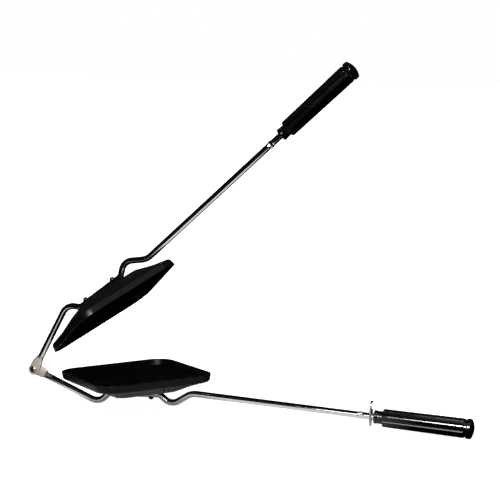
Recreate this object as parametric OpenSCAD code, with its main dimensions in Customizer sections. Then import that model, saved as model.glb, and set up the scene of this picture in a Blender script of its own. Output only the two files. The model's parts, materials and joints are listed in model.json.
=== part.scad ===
/* [Pans] */
// Side of each square pan over its rim
pan_side = 115; // [100:1:130]
// Corner radius of the rim
pan_corner_r = 19; // [14:0.5:24]
// Corner radius lost for each millimetre inwards from the rim
corner_taper = 0.4; // [0.3:0.05:0.5]
// Height of the upright rim wall, from the plane where the pans meet
rim_height = 7; // [5:0.5:10]
// Inward lean of the rim wall over its height
rim_lean = 1; // [0.5:0.25:2]
// Width of the shallow shoulder next to the rim wall
shoulder_width = 12.5; // [9:0.5:14]
// Depth that the shoulder gains
shoulder_rise = 4; // [3:0.25:5]
// Width of the steeper slope of the pocket
slope_width = 14; // [11:0.5:16]
// Depth that the slope gains
slope_rise = 6.5; // [5:0.25:8]
// Thickness of the pressed metal
pan_wall = 1.5; // [1:0.1:2]
// Outer radius of the edge between rim wall and shoulder
rim_edge_r = 2.8; // [2.2:0.1:4]
// Outer radius of the hollow between shoulder and slope
shoulder_r = 14; // [8:1:20]
// Outer radius of the edge round the flat
crown_r = 8; // [5:0.5:12]
// Gap between the two rims when the toaster is closed
rim_gap = 0.3; // [0.2:0.05:0.5]
// Distance from the hinge axis to the nearest corner of the rim
hinge_to_rim = 29.5; // [26:0.5:36]

/* [Rods] */
// Diameter of the round rod
rod_d = 6; // [5.5:0.1:6.5]
// Bend radius of the rod at each end of the flat, on its centre line
bend_r = 7; // [6:0.5:8]
// Bend radius over the hump on the hinge side, on the centre line
hinge_hump_r = 12; // [8:0.5:14]
// Bend radius over the hump on the handle side, on the centre line
handle_hump_r = 11; // [8:0.5:13]
// Bend radius where the handle straight begins, on the centre line
handle_bend_r = 16; // [8:0.5:20]
// Clearance between the rod and the flat of the pan
rod_seat_gap = 0.05; // [0.02:0.01:0.1]
// Distance from the corner of the flat to the rod's first contact with it
flat_inset = 11.8; // [10:0.2:14]
// Length of the hump on the hinge side, along the toaster
hinge_hump_run = 10.5; // [10:0.5:14]
// Height of the hump on the hinge side, over the rod on the flat
hinge_hump_rise = 9.6; // [8.6:0.1:10]
// Length of the hump's first flank on the handle side, along the toaster
handle_hump_run = 11.5; // [11:0.5:13]
// Height of the hump on the handle side, over the rod on the flat
handle_hump_rise = 9.7; // [9:0.1:10.2]
// Length of the hump's second flank on the handle side, along the toaster
dip_run = 20; // [18:0.5:24]
// Height that the rod loses again between this hump and the handle straight
dip_drop = 11.5; // [10.5:0.1:12]
// Distance from the corner of the flat to the start of the handle straight
dip_reach = 15.7; // [14:0.1:20]
// Angle between the handle straight and the plane where the pans meet
handle_angle = 5.2; // [4:0.1:7]
// Length of the bare handle straight, from its first bend to the grip
handle_length = 173.5; // [140:0.5:200]
// Distance from the swaged ears to the grip
ear_offset = 12.5; // [10:0.5:20]
// Width over the swaged ears
ear_width = 7; // [6.7:0.1:9]
// Thickness of the rod at the swaged ears
ear_thickness = 4.6; // [4:0.1:5]
// Radius of the two dents that press the ears out
ear_dent_r = 6; // [4:0.5:12]

/* [Hinge] */
// Diameter of the flattened eye at the end of each rod
eye_d = 10.5; // [9.5:0.25:12]
// Thickness of the flattened eye
eye_thickness = 2.9; // [2.5:0.1:3.2]
// Radius of the rounded edge of the eye
eye_edge_r = 0.8; // [0.4:0.1:1]
// Gap between the two lapped eyes
lap_gap = 0.1; // [0.05:0.05:0.2]
// Distance from the hinge axis to where the flattened end starts to narrow
neck_start = 7; // [6:0.5:8]
// Distance from the hinge axis to where it starts to thicken
step_start = 11; // [10.5:0.25:12]
// Distance from the hinge axis to the full round of the rod
neck_end = 15; // [14:0.5:18]
// Diameter of the hinge rivet
hinge_rivet_d = 4; // [3.5:0.1:4.5]
// Running clearance of the hinge rivet, on the radius
running_clearance = 0.05; // [0.03:0.01:0.08]
// Diameter of the domed head of the hinge rivet
hinge_head_d = 6; // [5.6:0.1:7.5]
// Height of that head
hinge_head_h = 1.4; // [1.2:0.1:2]
// Diameter of the washer under the closed end of the rivet
washer_d = 9; // [8:0.25:10]
// Thickness of that washer
washer_t = 0.8; // [0.6:0.1:1.2]
// Opening angle at which the toaster is shown
open_angle = 35.2; // [0:0.1:120]

/* [Pan rivets] */
// Diameter of a pan rivet
pan_rivet_d = 3.2; // [2.8:0.1:3.4]
// Diameter of its domed head on the rod
pan_head_d = 5.3; // [5:0.1:5.6]
// Height of that head
pan_head_h = 2.8; // [2.4:0.1:3.2]
// Depth of the spot face under that head
spot_depth = 0.6; // [0.4:0.1:0.9]
// Distance from each end of the flat stretch of rod to its rivet
rivet_inset = 8.5; // [7:0.25:10]
// Diameter of the low head inside the pan
inner_head_d = 9; // [7:0.5:11]
// Height of the low head inside the pan
inner_head_h = 1; // [0.8:0.1:1.4]
// Clearance round the rivets, on the radius
rivet_clearance = 0.05; // [0.02:0.01:0.1]

/* [Grips] */
// Diameter of the neck at the front of the grip
grip_neck_d = 12.2; // [11.4:0.1:13]
// Length of the neck
grip_neck_length = 8; // [6:0.5:10]
// Depth of the waist behind the front lip of the neck
neck_waist = 0.3; // [0.2:0.05:0.7]
// Distance from the front of the neck to its waist
neck_lip_length = 3.6; // [2.4:0.2:5]
// Radius of the front edge of the neck
neck_edge_r = 0.4; // [0.2:0.1:1]
// Diameter of the grip body at its front
grip_front_d = 16.4; // [15.6:0.1:17]
// Diameter of the grip body at its end
grip_end_d = 17.4; // [16.6:0.1:18]
// Length of the grip body
grip_length = 73.5; // [60:0.5:95]
// Radius of the edges of the grip body
grip_edge_r = 0.9; // [0.6:0.1:1.2]
// Number of flutes round the grip
flutes = 8; // [6:1:9]
// Radius of a flute
flute_r = 6; // [5:0.25:7]
// Depth of a flute
flute_depth = 0.9; // [0.6:0.05:1]
// Diameter of the end cap
cap_d = 17.9; // [17:0.1:19]
// Length of the end cap beyond its collar
cap_length = 7; // [6.5:0.25:9]
// Length of the collar that shows as a groove
collar_length = 1.5; // [1:0.25:2.5]
// Depth of that groove below the grip body
groove_depth = 0.8; // [0.5:0.1:1.2]
// Radius of the dome on the end cap
dome_r = 16; // [13:0.5:20]
// Radius of the edges of the end cap
cap_edge_r = 1.5; // [1:0.1:1.8]
// Length of the spigot that holds the end cap
spigot_length = 5; // [4:0.5:7]
// Clearance of the spigot in the grip, on the radius
spigot_clearance = 0.05; // [0.02:0.01:0.1]
// Clearance of the grip on the rod, on the radius
grip_bore_clearance = 0.1; // [0.05:0.05:0.2]
// Length of full rod inside the grip, up to its shoulder
shoulder_depth = 20; // [12:1:30]
// Diameter of the threaded end of the rod
thread_d = 5; // [4:0.25:5]
// Width across the flats of the grip nut
nut_flats = 8; // [7.5:0.1:8.5]
// Height of the grip nut
nut_height = 4; // [3:0.25:5]
// Diameter of the washer under the grip nut
grip_washer_d = 10; // [9.8:0.1:10.2]
// Thickness of that washer
grip_washer_t = 1; // [0.8:0.1:1.4]
// Diameter of the recess for nut and washer
recess_d = 11; // [10.6:0.1:11.6]
// Thread that stands out past the nut
thread_past_nut = 1.5; // [1:0.25:2]

/* [Lock clip] */
// Thickness of the clip's sheet metal
clip_thickness = 1.5; // [1:0.1:2]
// Distance from the middle of the clip to the grip
clip_offset = 3.2; // [2:0.1:5]
// Clearance of the clip round the rod it swings on, on the radius
clip_clearance = 0.3; // [0.2:0.05:0.4]
// Width of the metal round the clip's hole
clip_ring_width = 1.95; // [1.6:0.05:2.4]
// Height of the hook slot's middle over the rod it swings on
hook_height = 9.4; // [9:0.1:11]
// Clearance of the hook slot round the other rod, on the radius
hook_clearance = 0.15; // [0.1:0.05:0.3]
// Width of the metal round the hook slot
hook_width = 1.75; // [1.5:0.05:2.2]
// Length of the thumb tab below the rod's middle
tab_length = 8.9; // [8:0.1:11]
// Width of the thumb tab
tab_width = 5; // [4:0.25:6]

/* [Hidden] */
$fn = 48;
corner_steps = 8;
fillet_steps = 3;
profile_steps = 5;
eye_steps = 7;
neck_rings = 8;
past = 1;
// Where two stretches of a rod run into each other, one is this much fatter and they overlap
skin = 0.02;
bend_overlap = 0.3;
// Share of a rivet head's height that is its upright edge
head_edge_share = 0.25;
// Share of the eye's edge radius on the bar behind it, which stays just inside the eye
bar_edge_share = 0.75;

rod_r = rod_d / 2;
pan_depth = rim_height + shoulder_rise + slope_rise;
pan_diagonal = half_diagonal(pan_side, pan_corner_r);
pan_centre = hinge_to_rim + pan_diagonal;
crown_inset = rim_lean + shoulder_width + slope_width;
crown_diagonal = half_diagonal(pan_side - 2 * crown_inset, pan_corner_r - corner_taper * crown_inset);
flat_start = pan_centre - crown_diagonal + flat_inset;
dip_start = pan_centre + crown_diagonal + dip_reach;
flat_end = dip_start - dip_run - handle_hump_run;
rod_on_flat = pan_depth + rod_seat_gap + rod_r;

// Corners of the rod's centre line, seen from the side: distance from the hinge, then depth
hinge_hump = [flat_start - hinge_hump_run, rod_on_flat + hinge_hump_rise];
handle_hump = [flat_end + handle_hump_run, rod_on_flat + handle_hump_rise];
dip = [dip_start, handle_hump.y - dip_drop];
arm_angle = atan2(hinge_hump.y, hinge_hump.x);
handle_direction = [cos(handle_angle), sin(handle_angle)];
rod_path = [
    neck_end * [cos(arm_angle), sin(arm_angle)],
    hinge_hump,
    [flat_start, rod_on_flat],
    [flat_end, rod_on_flat],
    handle_hump,
    dip,
    dip + (handle_length + shoulder_depth) * handle_direction
];
bend_radii = [hinge_hump_r, bend_r, bend_r, handle_hump_r, handle_bend_r];
pan_rivet_places = [flat_start + rivet_inset, flat_end - rivet_inset];

// Stations along the handle straight, from the corner of its first bend
grip_start = handle_length;
grip_body_start = grip_start + grip_neck_length;
grip_end = grip_body_start + grip_length;
cap_start = grip_end + collar_length;
cap_tip = cap_start + cap_length;
dome_centre = cap_tip - dome_r;
cap_edge_station = dome_centre + sqrt(pow(dome_r - cap_edge_r, 2) - pow(cap_d / 2 - cap_edge_r, 2));
recess_start = grip_end - spigot_length - thread_past_nut - nut_height - grip_washer_t - past;
thread_end = recess_start + grip_washer_t + nut_height + thread_past_nut;

// The toaster lies on the hump at the hinge side and on the lower end cap
hump_circle = bend(rod_path[0], rod_path[1], rod_path[2], hinge_hump_r);
hump_reach = hinge_hump_r + rod_r + skin;
cap_edge_centre = dip + cap_edge_station * handle_direction
    + (cap_d / 2 - cap_edge_r) * [-handle_direction.y, handle_direction.x];
contact_line = cap_edge_centre - hump_circle[2];
rest_tilt = atan2(contact_line.y, contact_line.x) - asin((hump_reach - cap_edge_r) / norm(contact_line));
rest_height = hump_circle[2] * [-sin(rest_tilt), cos(rest_tilt)] + hump_reach;
tip_reach = (dip + dome_centre * handle_direction) * [cos(rest_tilt), sin(rest_tilt)] + dome_r;
centre_reach = (tip_reach - eye_d / 2) / 2;

function unit(v) = v / norm(v);
function mix(a, b, t) = a + (b - a) * t;
function smooth(t) = let(c = min(max(t, 0), 1)) c * c * (3 - 2 * c);
function half_diagonal(side, r) = side / 2 * sqrt(2) - r * (sqrt(2) - 1);

// Points on an arc, from one angle to another
function arc(centre, r, from, to, steps) =
    [for (i = [0:steps]) let(a = mix(from, to, i / steps)) centre + r * [cos(a), sin(a)]];

// Rounding of the corner b between a and c: first point, last point, centre, first angle, sweep
function bend(a, b, c, r) = let(
    to_a = unit(a - b),
    to_c = unit(c - b),
    half_angle = acos(to_a * to_c) / 2,
    first = b + to_a * r / tan(half_angle),
    last = b + to_c * r / tan(half_angle),
    centre = b + unit(to_a + to_c) * r / sin(half_angle),
    side = sign(to_a.x * to_c.y - to_a.y * to_c.x),
    from = atan2(first.y - centre.y, first.x - centre.x)
) [first, last, centre, from, -side * (180 - 2 * half_angle)];

// Line through the given points with its inner corners rounded
function filleted(line, radii) = [
    line[0],
    for (k = [1:len(line) - 2])
        let(b = bend(line[k - 1], line[k], line[k + 1], radii[k - 1]))
        each arc(b[2], radii[k - 1], b[3], b[3] + b[4], fillet_steps),
    line[len(line) - 1]
];

// Closed solid through rings of equally many points, with a flat face at each end
module loft(rings) {
    n = len(rings[0]);
    last = len(rings) - 1;
    sides = [
        for (k = [0:last - 1], i = [0:n - 1])
            let(j = (i + 1) % n)
            each [[k * n + i, (k + 1) * n + i, k * n + j], [k * n + j, (k + 1) * n + i, (k + 1) * n + j]]
    ];
    first_face = [for (i = [0:n - 1]) i];
    last_face = [for (i = [n - 1:-1:0]) last * n + i];
    polyhedron([for (ring = rings) each ring], [first_face, each sides, last_face]);
}

// Side frame of a half: x runs from the hinge to the handle, y goes outwards from the plane
// where the pans meet, and z lies along the hinge axis
module lower_half() {
    on_table() rotate([-90, 0, 0]) children();
}

module upper_half() {
    on_table() rotate([0, -open_angle, 0]) rotate([180, 0, 0]) rotate([-90, 0, 0]) children();
}

module on_table() {
    translate([-centre_reach, 0, rest_height]) rotate([0, -rest_tilt, 0]) children();
}

// Frame on the handle straight: z runs along the rod from the given station
module on_handle(station) {
    place = dip + station * handle_direction;
    translate([place.x, place.y, 0]) rotate([0, 90, handle_angle]) children();
}

// Frame on a pan rivet: z goes outwards through pan and rod from the plane where the pans meet
module on_pan_rivet(index) {
    translate([pan_rivet_places[index], 0, 0]) rotate([-90, 0, 0]) children();
}

// Distance in from the rim's side, then depth, along the outer face from rim to flat
pan_line = [
    [0, rim_gap / 2],
    [rim_lean, rim_height],
    [rim_lean + shoulder_width, rim_height + shoulder_rise],
    [crown_inset, pan_depth],
    [crown_inset + crown_r, pan_depth]
];

// Same line one wall thickness further in
pan_inner_line = [
    for (k = [0:len(pan_line) - 1])
        let(
            before = unit(pan_line[max(k, 1)] - pan_line[max(k, 1) - 1]),
            after = unit(pan_line[min(k + 1, len(pan_line) - 1)] - pan_line[min(k, len(pan_line) - 2)]),
            normal_1 = [before.y, -before.x],
            normal_2 = [after.y, -after.x]
        )
        k == 0 ? [pan_wall / normal_2.x, rim_gap / 2]
            : pan_line[k] + pan_wall * (normal_1 + normal_2) / (1 + normal_1 * normal_2)
];

// Rounded square ring of the pan at one point of its profile
function pan_ring(at) = let(
    r = pan_corner_r - corner_taper * at.x,
    h = pan_side / 2 - at.x - r
) [
    for (corner = [0:3], i = [0:corner_steps])
        let(a = 90 * (corner + i / corner_steps), c = 90 * corner + 45)
        [sign(cos(c)) * h + r * cos(a), sign(sin(c)) * h + r * sin(a), at.y]
];

module pan() {
    outer = filleted(pan_line, [rim_edge_r, shoulder_r, crown_r]);
    inner = filleted(pan_inner_line, [rim_edge_r - pan_wall, shoulder_r + pan_wall, crown_r - pan_wall]);
    around = [for (k = [len(inner) - 1:-1:0]) inner[k], each outer];
    color("#1c1b1b")
    difference() {
        translate([pan_centre, 0, 0]) rotate([-90, 0, 0]) rotate([0, 0, 45])
            loft([for (at = around) pan_ring(at)]);
        for (index = [0:1])
            on_pan_rivet(index) cylinder(h = pan_depth + past, r = pan_rivet_d / 2 + rivet_clearance);
    }
}

module lower_pan() {
    lower_half() pan();
}

module upper_pan() {
    upper_half() pan();
}

module straight(from, to, r) {
    way = to - from;
    translate([from.x, from.y, 0]) rotate([0, 90, atan2(way.y, way.x)]) cylinder(h = norm(way), r = r);
}

module bent_rod(path, radii, r) {
    bends = [for (k = [1:len(path) - 2]) bend(path[k - 1], path[k], path[k + 1], radii[k - 1])];
    for (k = [0:len(bends) - 1])
        translate([bends[k][2].x, bends[k][2].y, 0])
            rotate([0, 0, min(bends[k][3], bends[k][3] + bends[k][4])])
            rotate_extrude(angle = abs(bends[k][4])) translate([radii[k], 0]) circle(r + skin);
    for (k = [0:len(bends)]) {
        from = k == 0 ? path[0] : bends[k - 1][1];
        to = k == len(bends) ? path[k + 1] : bends[k][0];
        before = k == 0 ? [0, 0] : bend_overlap * unit(to - from);
        after = k == len(bends) ? [0, 0] : bend_overlap * unit(to - from);
        straight(from - before, to + after, r);
    }
}

// Section of the flattened end at a distance from the hinge axis: a rounded bar that becomes
// the round rod
function eye_ring(along) = let(
    narrow = smooth((along - neck_start) / (neck_end - neck_start)),
    thick = smooth((along - step_start) / (neck_end - step_start)),
    full_r = rod_r - 2 * skin,
    half_w = mix(eye_d / 2 - eye_edge_r / 2, full_r, narrow),
    low = mix(lap_gap / 2 + skin, -full_r, thick),
    high = mix(lap_gap / 2 + eye_thickness - skin, full_r, thick),
    edge = mix(bar_edge_share * eye_edge_r, full_r, thick)
) [
    for (corner = [0:3], i = [0:eye_steps])
        let(a = 90 * (corner + i / eye_steps), c = 90 * corner + 45)
        [
            along,
            sign(cos(c)) * (half_w - edge) + edge * cos(a),
            (low + high) / 2 + sign(sin(c)) * ((high - low) / 2 - edge) + edge * sin(a)
        ]
];

module eye() {
    r = eye_d / 2;
    edge = eye_edge_r;
    section = [
        [0, 0],
        each arc([r - edge, edge], edge, -90, 0, fillet_steps),
        each arc([r - edge, eye_thickness - edge], edge, 0, 90, fillet_steps),
        [0, eye_thickness]
    ];
    translate([0, 0, lap_gap / 2]) rotate_extrude() polygon(section);
    rotate([0, 0, arm_angle])
        loft([
            eye_ring(rod_r),
            for (k = [0:neck_rings]) eye_ring(mix(neck_start, neck_end + bend_overlap, k / neck_rings))
        ]);
}

module rod() {
    bore_length = 2 * (lap_gap + eye_thickness + past);
    color("#c7cacc")
    difference() {
        union() {
            bent_rod(rod_path, bend_radii, rod_r);
            eye();
            on_handle(grip_start) cylinder(h = thread_end - grip_start, r = thread_d / 2);
            on_handle(grip_start - ear_offset) rotate([0, 90, 0])
                cylinder(h = ear_thickness / 2, r = ear_width / 2, center = true);
        }
        cylinder(h = bore_length, r = hinge_rivet_d / 2 + running_clearance, center = true);
        on_handle(grip_start - ear_offset)
            for (side = [-1, 1])
                translate([side * (ear_dent_r + ear_thickness / 2), 0, 0]) rotate([90, 0, 0])
                    cylinder(h = 2 * ear_width, r = ear_dent_r, center = true);
        for (index = [0:1]) on_pan_rivet(index) {
            cylinder(h = rod_on_flat + rod_d, r = pan_rivet_d / 2 + rivet_clearance);
            translate([0, 0, rod_on_flat + rod_r - spot_depth])
                cylinder(h = rod_d, r = pan_head_d / 2 + rivet_clearance);
        }
    }
}

module lower_rod() {
    lower_half() rod();
}

module upper_rod() {
    upper_half() rod();
}

// Domed head that stands on z = 0, with a short upright edge
module domed_head(d, h) {
    edge_h = head_edge_share * h;
    rise = h - edge_h;
    ball_r = (d * d / 4 + rise * rise) / (2 * rise);
    rim_angle = asin((ball_r - rise) / ball_r);
    rotate_extrude() polygon([
        [0, 0],
        [d / 2, 0],
        each arc([0, h - ball_r], ball_r, rim_angle, 90, profile_steps)
    ]);
}

module hinge_rivet() {
    front = -(lap_gap / 2 + eye_thickness + lap_gap);
    back = lap_gap / 2 + eye_thickness + washer_t;
    color("#9d9c99")
    lower_half() {
        translate([0, 0, front]) cylinder(h = back - front, r = hinge_rivet_d / 2);
        translate([0, 0, front]) rotate([180, 0, 0]) domed_head(hinge_head_d, hinge_head_h);
        translate([0, 0, back]) domed_head(hinge_head_d, hinge_head_h);
    }
}

module ring(d, hole_d, t) {
    difference() {
        cylinder(h = t, r = d / 2);
        translate([0, 0, -past]) cylinder(h = t + 2 * past, r = hole_d / 2);
    }
}

module hinge_washer() {
    color("#a9abac")
    lower_half()
        translate([0, 0, lap_gap / 2 + eye_thickness])
        ring(washer_d, hinge_rivet_d + 2 * rivet_clearance, washer_t);
}

module pan_rivet(index) {
    inside = pan_depth - pan_wall;
    seat = rod_on_flat + rod_r - spot_depth;
    color("#a5a29d")
    on_pan_rivet(index) {
        translate([0, 0, inside]) cylinder(h = seat - inside, r = pan_rivet_d / 2);
        translate([0, 0, seat]) domed_head(pan_head_d, pan_head_h);
        translate([0, 0, inside]) rotate([180, 0, 0]) domed_head(inner_head_d, inner_head_h);
    }
}

module lower_hinge_side_rivet() {
    lower_half() pan_rivet(0);
}

module lower_handle_side_rivet() {
    lower_half() pan_rivet(1);
}

module upper_hinge_side_rivet() {
    upper_half() pan_rivet(0);
}

module upper_handle_side_rivet() {
    upper_half() pan_rivet(1);
}

module grip() {
    neck_r = grip_neck_d / 2;
    front_r = grip_front_d / 2;
    end_r = grip_end_d / 2;
    body = grip_neck_length;
    end = grip_neck_length + grip_length;
    waist_r = neck_r - neck_waist;
    section = [
        [0, 0],
        each arc([neck_r - neck_edge_r, neck_edge_r], neck_edge_r, -90, 0, fillet_steps),
        [waist_r, neck_lip_length],
        [waist_r, body],
        each arc([front_r - grip_edge_r, body + grip_edge_r], grip_edge_r, -90, 0, fillet_steps),
        each arc([end_r - grip_edge_r, end - grip_edge_r], grip_edge_r, 0, 90, fillet_steps),
        [0, end]
    ];
    color("#1b1918")
    on_handle(grip_start)
    difference() {
        rotate_extrude() polygon(section);
        for (k = [0:flutes - 1])
            rotate([0, 0, 360 * k / flutes])
                translate([front_r + flute_r - flute_depth, 0, body])
                rotate([0, atan2(end_r - front_r, grip_length), 0])
                translate([0, 0, -past]) cylinder(h = grip_length + 2 * past, r = flute_r);
        translate([0, 0, -past])
            cylinder(h = shoulder_depth + past, r = rod_r + grip_bore_clearance);
        cylinder(h = end, r = thread_d / 2 + grip_bore_clearance);
        translate([0, 0, recess_start - grip_start])
            cylinder(h = grip_length, r = recess_d / 2);
    }
}

module lower_grip() {
    lower_half() grip();
}

module upper_grip() {
    upper_half() grip();
}

module end_cap() {
    cap_r = cap_d / 2;
    collar_r = grip_end_d / 2 - groove_depth;
    edge_angle = asin((cap_edge_station - dome_centre) / (dome_r - cap_edge_r));
    section = [
        [0, grip_end - spigot_length],
        [recess_d / 2 - spigot_clearance, grip_end - spigot_length],
        [recess_d / 2 - spigot_clearance, grip_end],
        [collar_r, grip_end],
        [collar_r, cap_start],
        each arc([cap_r - grip_edge_r, cap_start + grip_edge_r], grip_edge_r, -90, 0, fillet_steps),
        each arc([cap_r - cap_edge_r, cap_edge_station], cap_edge_r, 0, edge_angle, profile_steps),
        each arc([0, dome_centre], dome_r, edge_angle, 90, profile_steps)
    ];
    color("#1b1918")
    on_handle(0) rotate_extrude() polygon(section);
}

module lower_end_cap() {
    lower_half() end_cap();
}

module upper_end_cap() {
    upper_half() end_cap();
}

module grip_washer() {
    color("#a9abac")
    on_handle(recess_start) ring(grip_washer_d, thread_d + 2 * rivet_clearance, grip_washer_t);
}

module lower_grip_washer() {
    lower_half() grip_washer();
}

module upper_grip_washer() {
    upper_half() grip_washer();
}

module grip_nut() {
    color("#b39a5c")
    on_handle(recess_start + grip_washer_t)
    difference() {
        cylinder(h = nut_height, r = nut_flats / sqrt(3), $fn = 6);
        translate([0, 0, -past])
            cylinder(h = nut_height + 2 * past, r = thread_d / 2 + rivet_clearance);
    }
}

module lower_grip_nut() {
    lower_half() grip_nut();
}

module upper_grip_nut() {
    upper_half() grip_nut();
}

// Outline of the clip, seen along its rod: x goes to the far side, y goes up
module clip_outline() {
    hole_r = rod_r + clip_clearance;
    ring_r = hole_r + clip_ring_width;
    slot_r = rod_r + hook_clearance;
    hook_r = slot_r + hook_width;
    tab_r = tab_width / 2;
    difference() {
        union() {
            circle(ring_r);
            translate([0, hook_height]) circle(hook_r);
            polygon([[-ring_r, 0], [0, 0], [0, hook_height], [-hook_r, hook_height]]);
            polygon([[0, 0], [ring_r, 0], [slot_r, hook_height - slot_r + past], [0, hook_height]]);
            translate([-tab_r, tab_r - tab_length]) square([tab_width, tab_length - tab_r]);
            translate([0, tab_r - tab_length]) circle(tab_r);
        }
        circle(hole_r);
        translate([0, hook_height]) circle(slot_r);
        translate([0, hook_height - slot_r]) square([2 * hook_r, 2 * slot_r]);
    }
}

module lock_clip() {
    color("#b9bbbc")
    lower_half()
        on_handle(grip_start - clip_offset - clip_thickness / 2)
        rotate([0, 0, 180]) linear_extrude(clip_thickness) clip_outline();
}

lower_pan();
upper_pan();
lower_rod();
upper_rod();
hinge_rivet();
hinge_washer();
lower_hinge_side_rivet();
lower_handle_side_rivet();
upper_hinge_side_rivet();
upper_handle_side_rivet();
lower_grip();
upper_grip();
lower_end_cap();
upper_end_cap();
lower_grip_nut();
upper_grip_nut();
lower_grip_washer();
upper_grip_washer();
lock_clip();
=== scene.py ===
"""Looks of the stovetop sandwich toaster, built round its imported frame.

Every piece of a half is made in that half's side frame, in millimetres: x runs from the hinge
towards the handle, y goes outwards from the plane where the pans meet, and z lies along the hinge.
"""

from __future__ import annotations

import json
import logging
import math
from dataclasses import dataclass, field
from enum import Enum
from typing import Any, Callable, Iterable, Sequence

import bmesh
import bpy
import numpy as np
from mathutils import Matrix, Vector


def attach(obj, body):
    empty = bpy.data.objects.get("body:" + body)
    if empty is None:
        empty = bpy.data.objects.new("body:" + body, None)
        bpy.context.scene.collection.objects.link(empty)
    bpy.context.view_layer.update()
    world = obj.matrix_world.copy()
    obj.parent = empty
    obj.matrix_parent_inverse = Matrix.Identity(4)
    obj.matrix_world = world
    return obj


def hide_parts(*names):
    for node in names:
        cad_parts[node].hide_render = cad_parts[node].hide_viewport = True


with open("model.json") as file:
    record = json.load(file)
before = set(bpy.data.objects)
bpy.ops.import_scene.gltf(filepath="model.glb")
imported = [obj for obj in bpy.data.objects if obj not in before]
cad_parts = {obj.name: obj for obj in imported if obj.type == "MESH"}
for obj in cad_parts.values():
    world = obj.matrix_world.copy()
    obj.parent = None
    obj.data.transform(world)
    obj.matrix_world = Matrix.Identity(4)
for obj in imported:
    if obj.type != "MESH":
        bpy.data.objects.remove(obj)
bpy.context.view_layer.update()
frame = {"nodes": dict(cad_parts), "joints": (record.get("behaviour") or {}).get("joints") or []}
log = logging.getLogger("toaster")

MM = 0.001


# Small helpers


def linear(code: str) -> tuple[float, float, float, float]:
    """Turns an sRGB hex value into the linear colour that a shader takes.

    Args:
        code: Colour such as "#1c1b1b".

    Returns:
        Red, green, blue and alpha.
    """
    parts = [int(code[i : i + 2], 16) / 255 for i in (1, 3, 5)]
    low = [p / 12.92 if p <= 0.04045 else ((p + 0.055) / 1.055) ** 2.4 for p in parts]
    return (low[0], low[1], low[2], 1.0)


def per_mm(size: float) -> float:
    """Texture scale at which one feature of a pattern measures size millimetres."""
    return 1000 / size


def smooth(t: float) -> float:
    """Eases from 0 to 1 without a kink at either end."""
    c = min(max(t, 0.0), 1.0)
    return c * c * (3 - 2 * c)


def mix(a: float, b: float, t: float) -> float:
    """Value between a and b at the share t."""
    return a + (b - a) * t


def add_node(tree: bpy.types.NodeTree, kind: str, inputs: dict | None = None, **settings: Any) -> bpy.types.Node:
    """Adds a node with its settings and links.

    Args:
        tree: Shader or geometry tree.
        kind: Blender's name of the node type.
        inputs: Socket name or index, and its value or the node or socket that feeds it.
        settings: Properties of the node itself.

    Returns:
        The new node.
    """
    node = tree.nodes.new(kind)
    for name, value in settings.items():
        setattr(node, name, value)
    for key, value in (inputs or {}).items():
        if isinstance(value, bpy.types.Node):
            value = value.outputs[0]
        if isinstance(value, bpy.types.NodeSocket):
            tree.links.new(value, node.inputs[key])
        else:
            node.inputs[key].default_value = value
    return node


def tidy_mesh(mesh: bpy.types.Mesh, sharp_angle: float, merge: float = 0.002 * MM) -> bpy.types.Mesh:
    """Merges doubles, turns the faces outwards and smooths all but the sharp edges.

    Args:
        mesh: Mesh to tidy, in metres.
        sharp_angle: Edges that bend by more degrees than this stay sharp.
        merge: Distance under which vertices become one.

    Returns:
        The same mesh.
    """
    bm = bmesh.new()
    bm.from_mesh(mesh)
    bmesh.ops.remove_doubles(bm, verts=bm.verts, dist=merge)
    bmesh.ops.dissolve_degenerate(bm, edges=bm.edges, dist=merge / 4)
    bmesh.ops.recalc_face_normals(bm, faces=bm.faces)
    bm.to_mesh(mesh)
    bm.free()
    mesh.shade_smooth()
    mesh.set_sharp_from_angle(angle=math.radians(sharp_angle))
    return mesh


def show(name: str, mesh: bpy.types.Mesh, material: bpy.types.Material) -> bpy.types.Object:
    """Links a finished mesh to the scene as a piece with one material."""
    piece = bpy.data.objects.new(name, mesh)
    bpy.context.scene.collection.objects.link(piece)
    mesh.materials.clear()
    mesh.materials.append(material)
    return piece


def evaluated_mesh(carrier: bpy.types.Object) -> bpy.types.Mesh:
    """Turns an object with its modifiers into a plain mesh, and removes the object."""
    bpy.context.view_layer.update()
    depsgraph = bpy.context.evaluated_depsgraph_get()
    mesh = bpy.data.meshes.new_from_object(carrier.evaluated_get(depsgraph))
    bpy.data.objects.remove(carrier)
    return mesh


def run_tree(tree: bpy.types.NodeTree, start: bpy.types.Mesh, values: dict[str, Any]) -> bpy.types.Mesh:
    """Runs a geometry tree on a mesh.

    Args:
        tree: Geometry tree with named inputs.
        start: Mesh that goes in.
        values: Value of each named input.

    Returns:
        The mesh that comes out.
    """
    carrier = bpy.data.objects.new("carrier", start)
    bpy.context.scene.collection.objects.link(carrier)
    modifier = carrier.modifiers.new("shape", "NODES")
    modifier.node_group = tree
    for item in tree.interface.items_tree:
        if item.in_out == "INPUT" and item.name in values:
            modifier[item.identifier] = values[item.name]
    return evaluated_mesh(carrier)


def points_mesh(name: str, points: Sequence, joined: bool, floats: dict | None = None,
                vectors: dict | None = None) -> bpy.types.Mesh:
    """Makes a mesh of points in millimetres, as the start of a geometry tree.

    Args:
        name: Name of the mesh.
        points: Places in the side frame.
        joined: Whether an edge joins each point to the next.
        floats: Number attributes by name, one value for each point.
        vectors: Vector attributes by name, one value for each point.

    Returns:
        The mesh.
    """
    mesh = bpy.data.meshes.new(name)
    edges = [(i, i + 1) for i in range(len(points) - 1)] if joined else []
    mesh.from_pydata([tuple(p) for p in points], edges, [])
    for key, values in (floats or {}).items():
        mesh.attributes.new(key, "FLOAT", "POINT").data.foreach_set("value", np.array(values, np.float32))
    for key, values in (vectors or {}).items():
        flat = np.array(values, np.float32).ravel()
        mesh.attributes.new(key, "FLOAT_VECTOR", "POINT").data.foreach_set("vector", flat)
    return mesh


# Where the halves are


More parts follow.
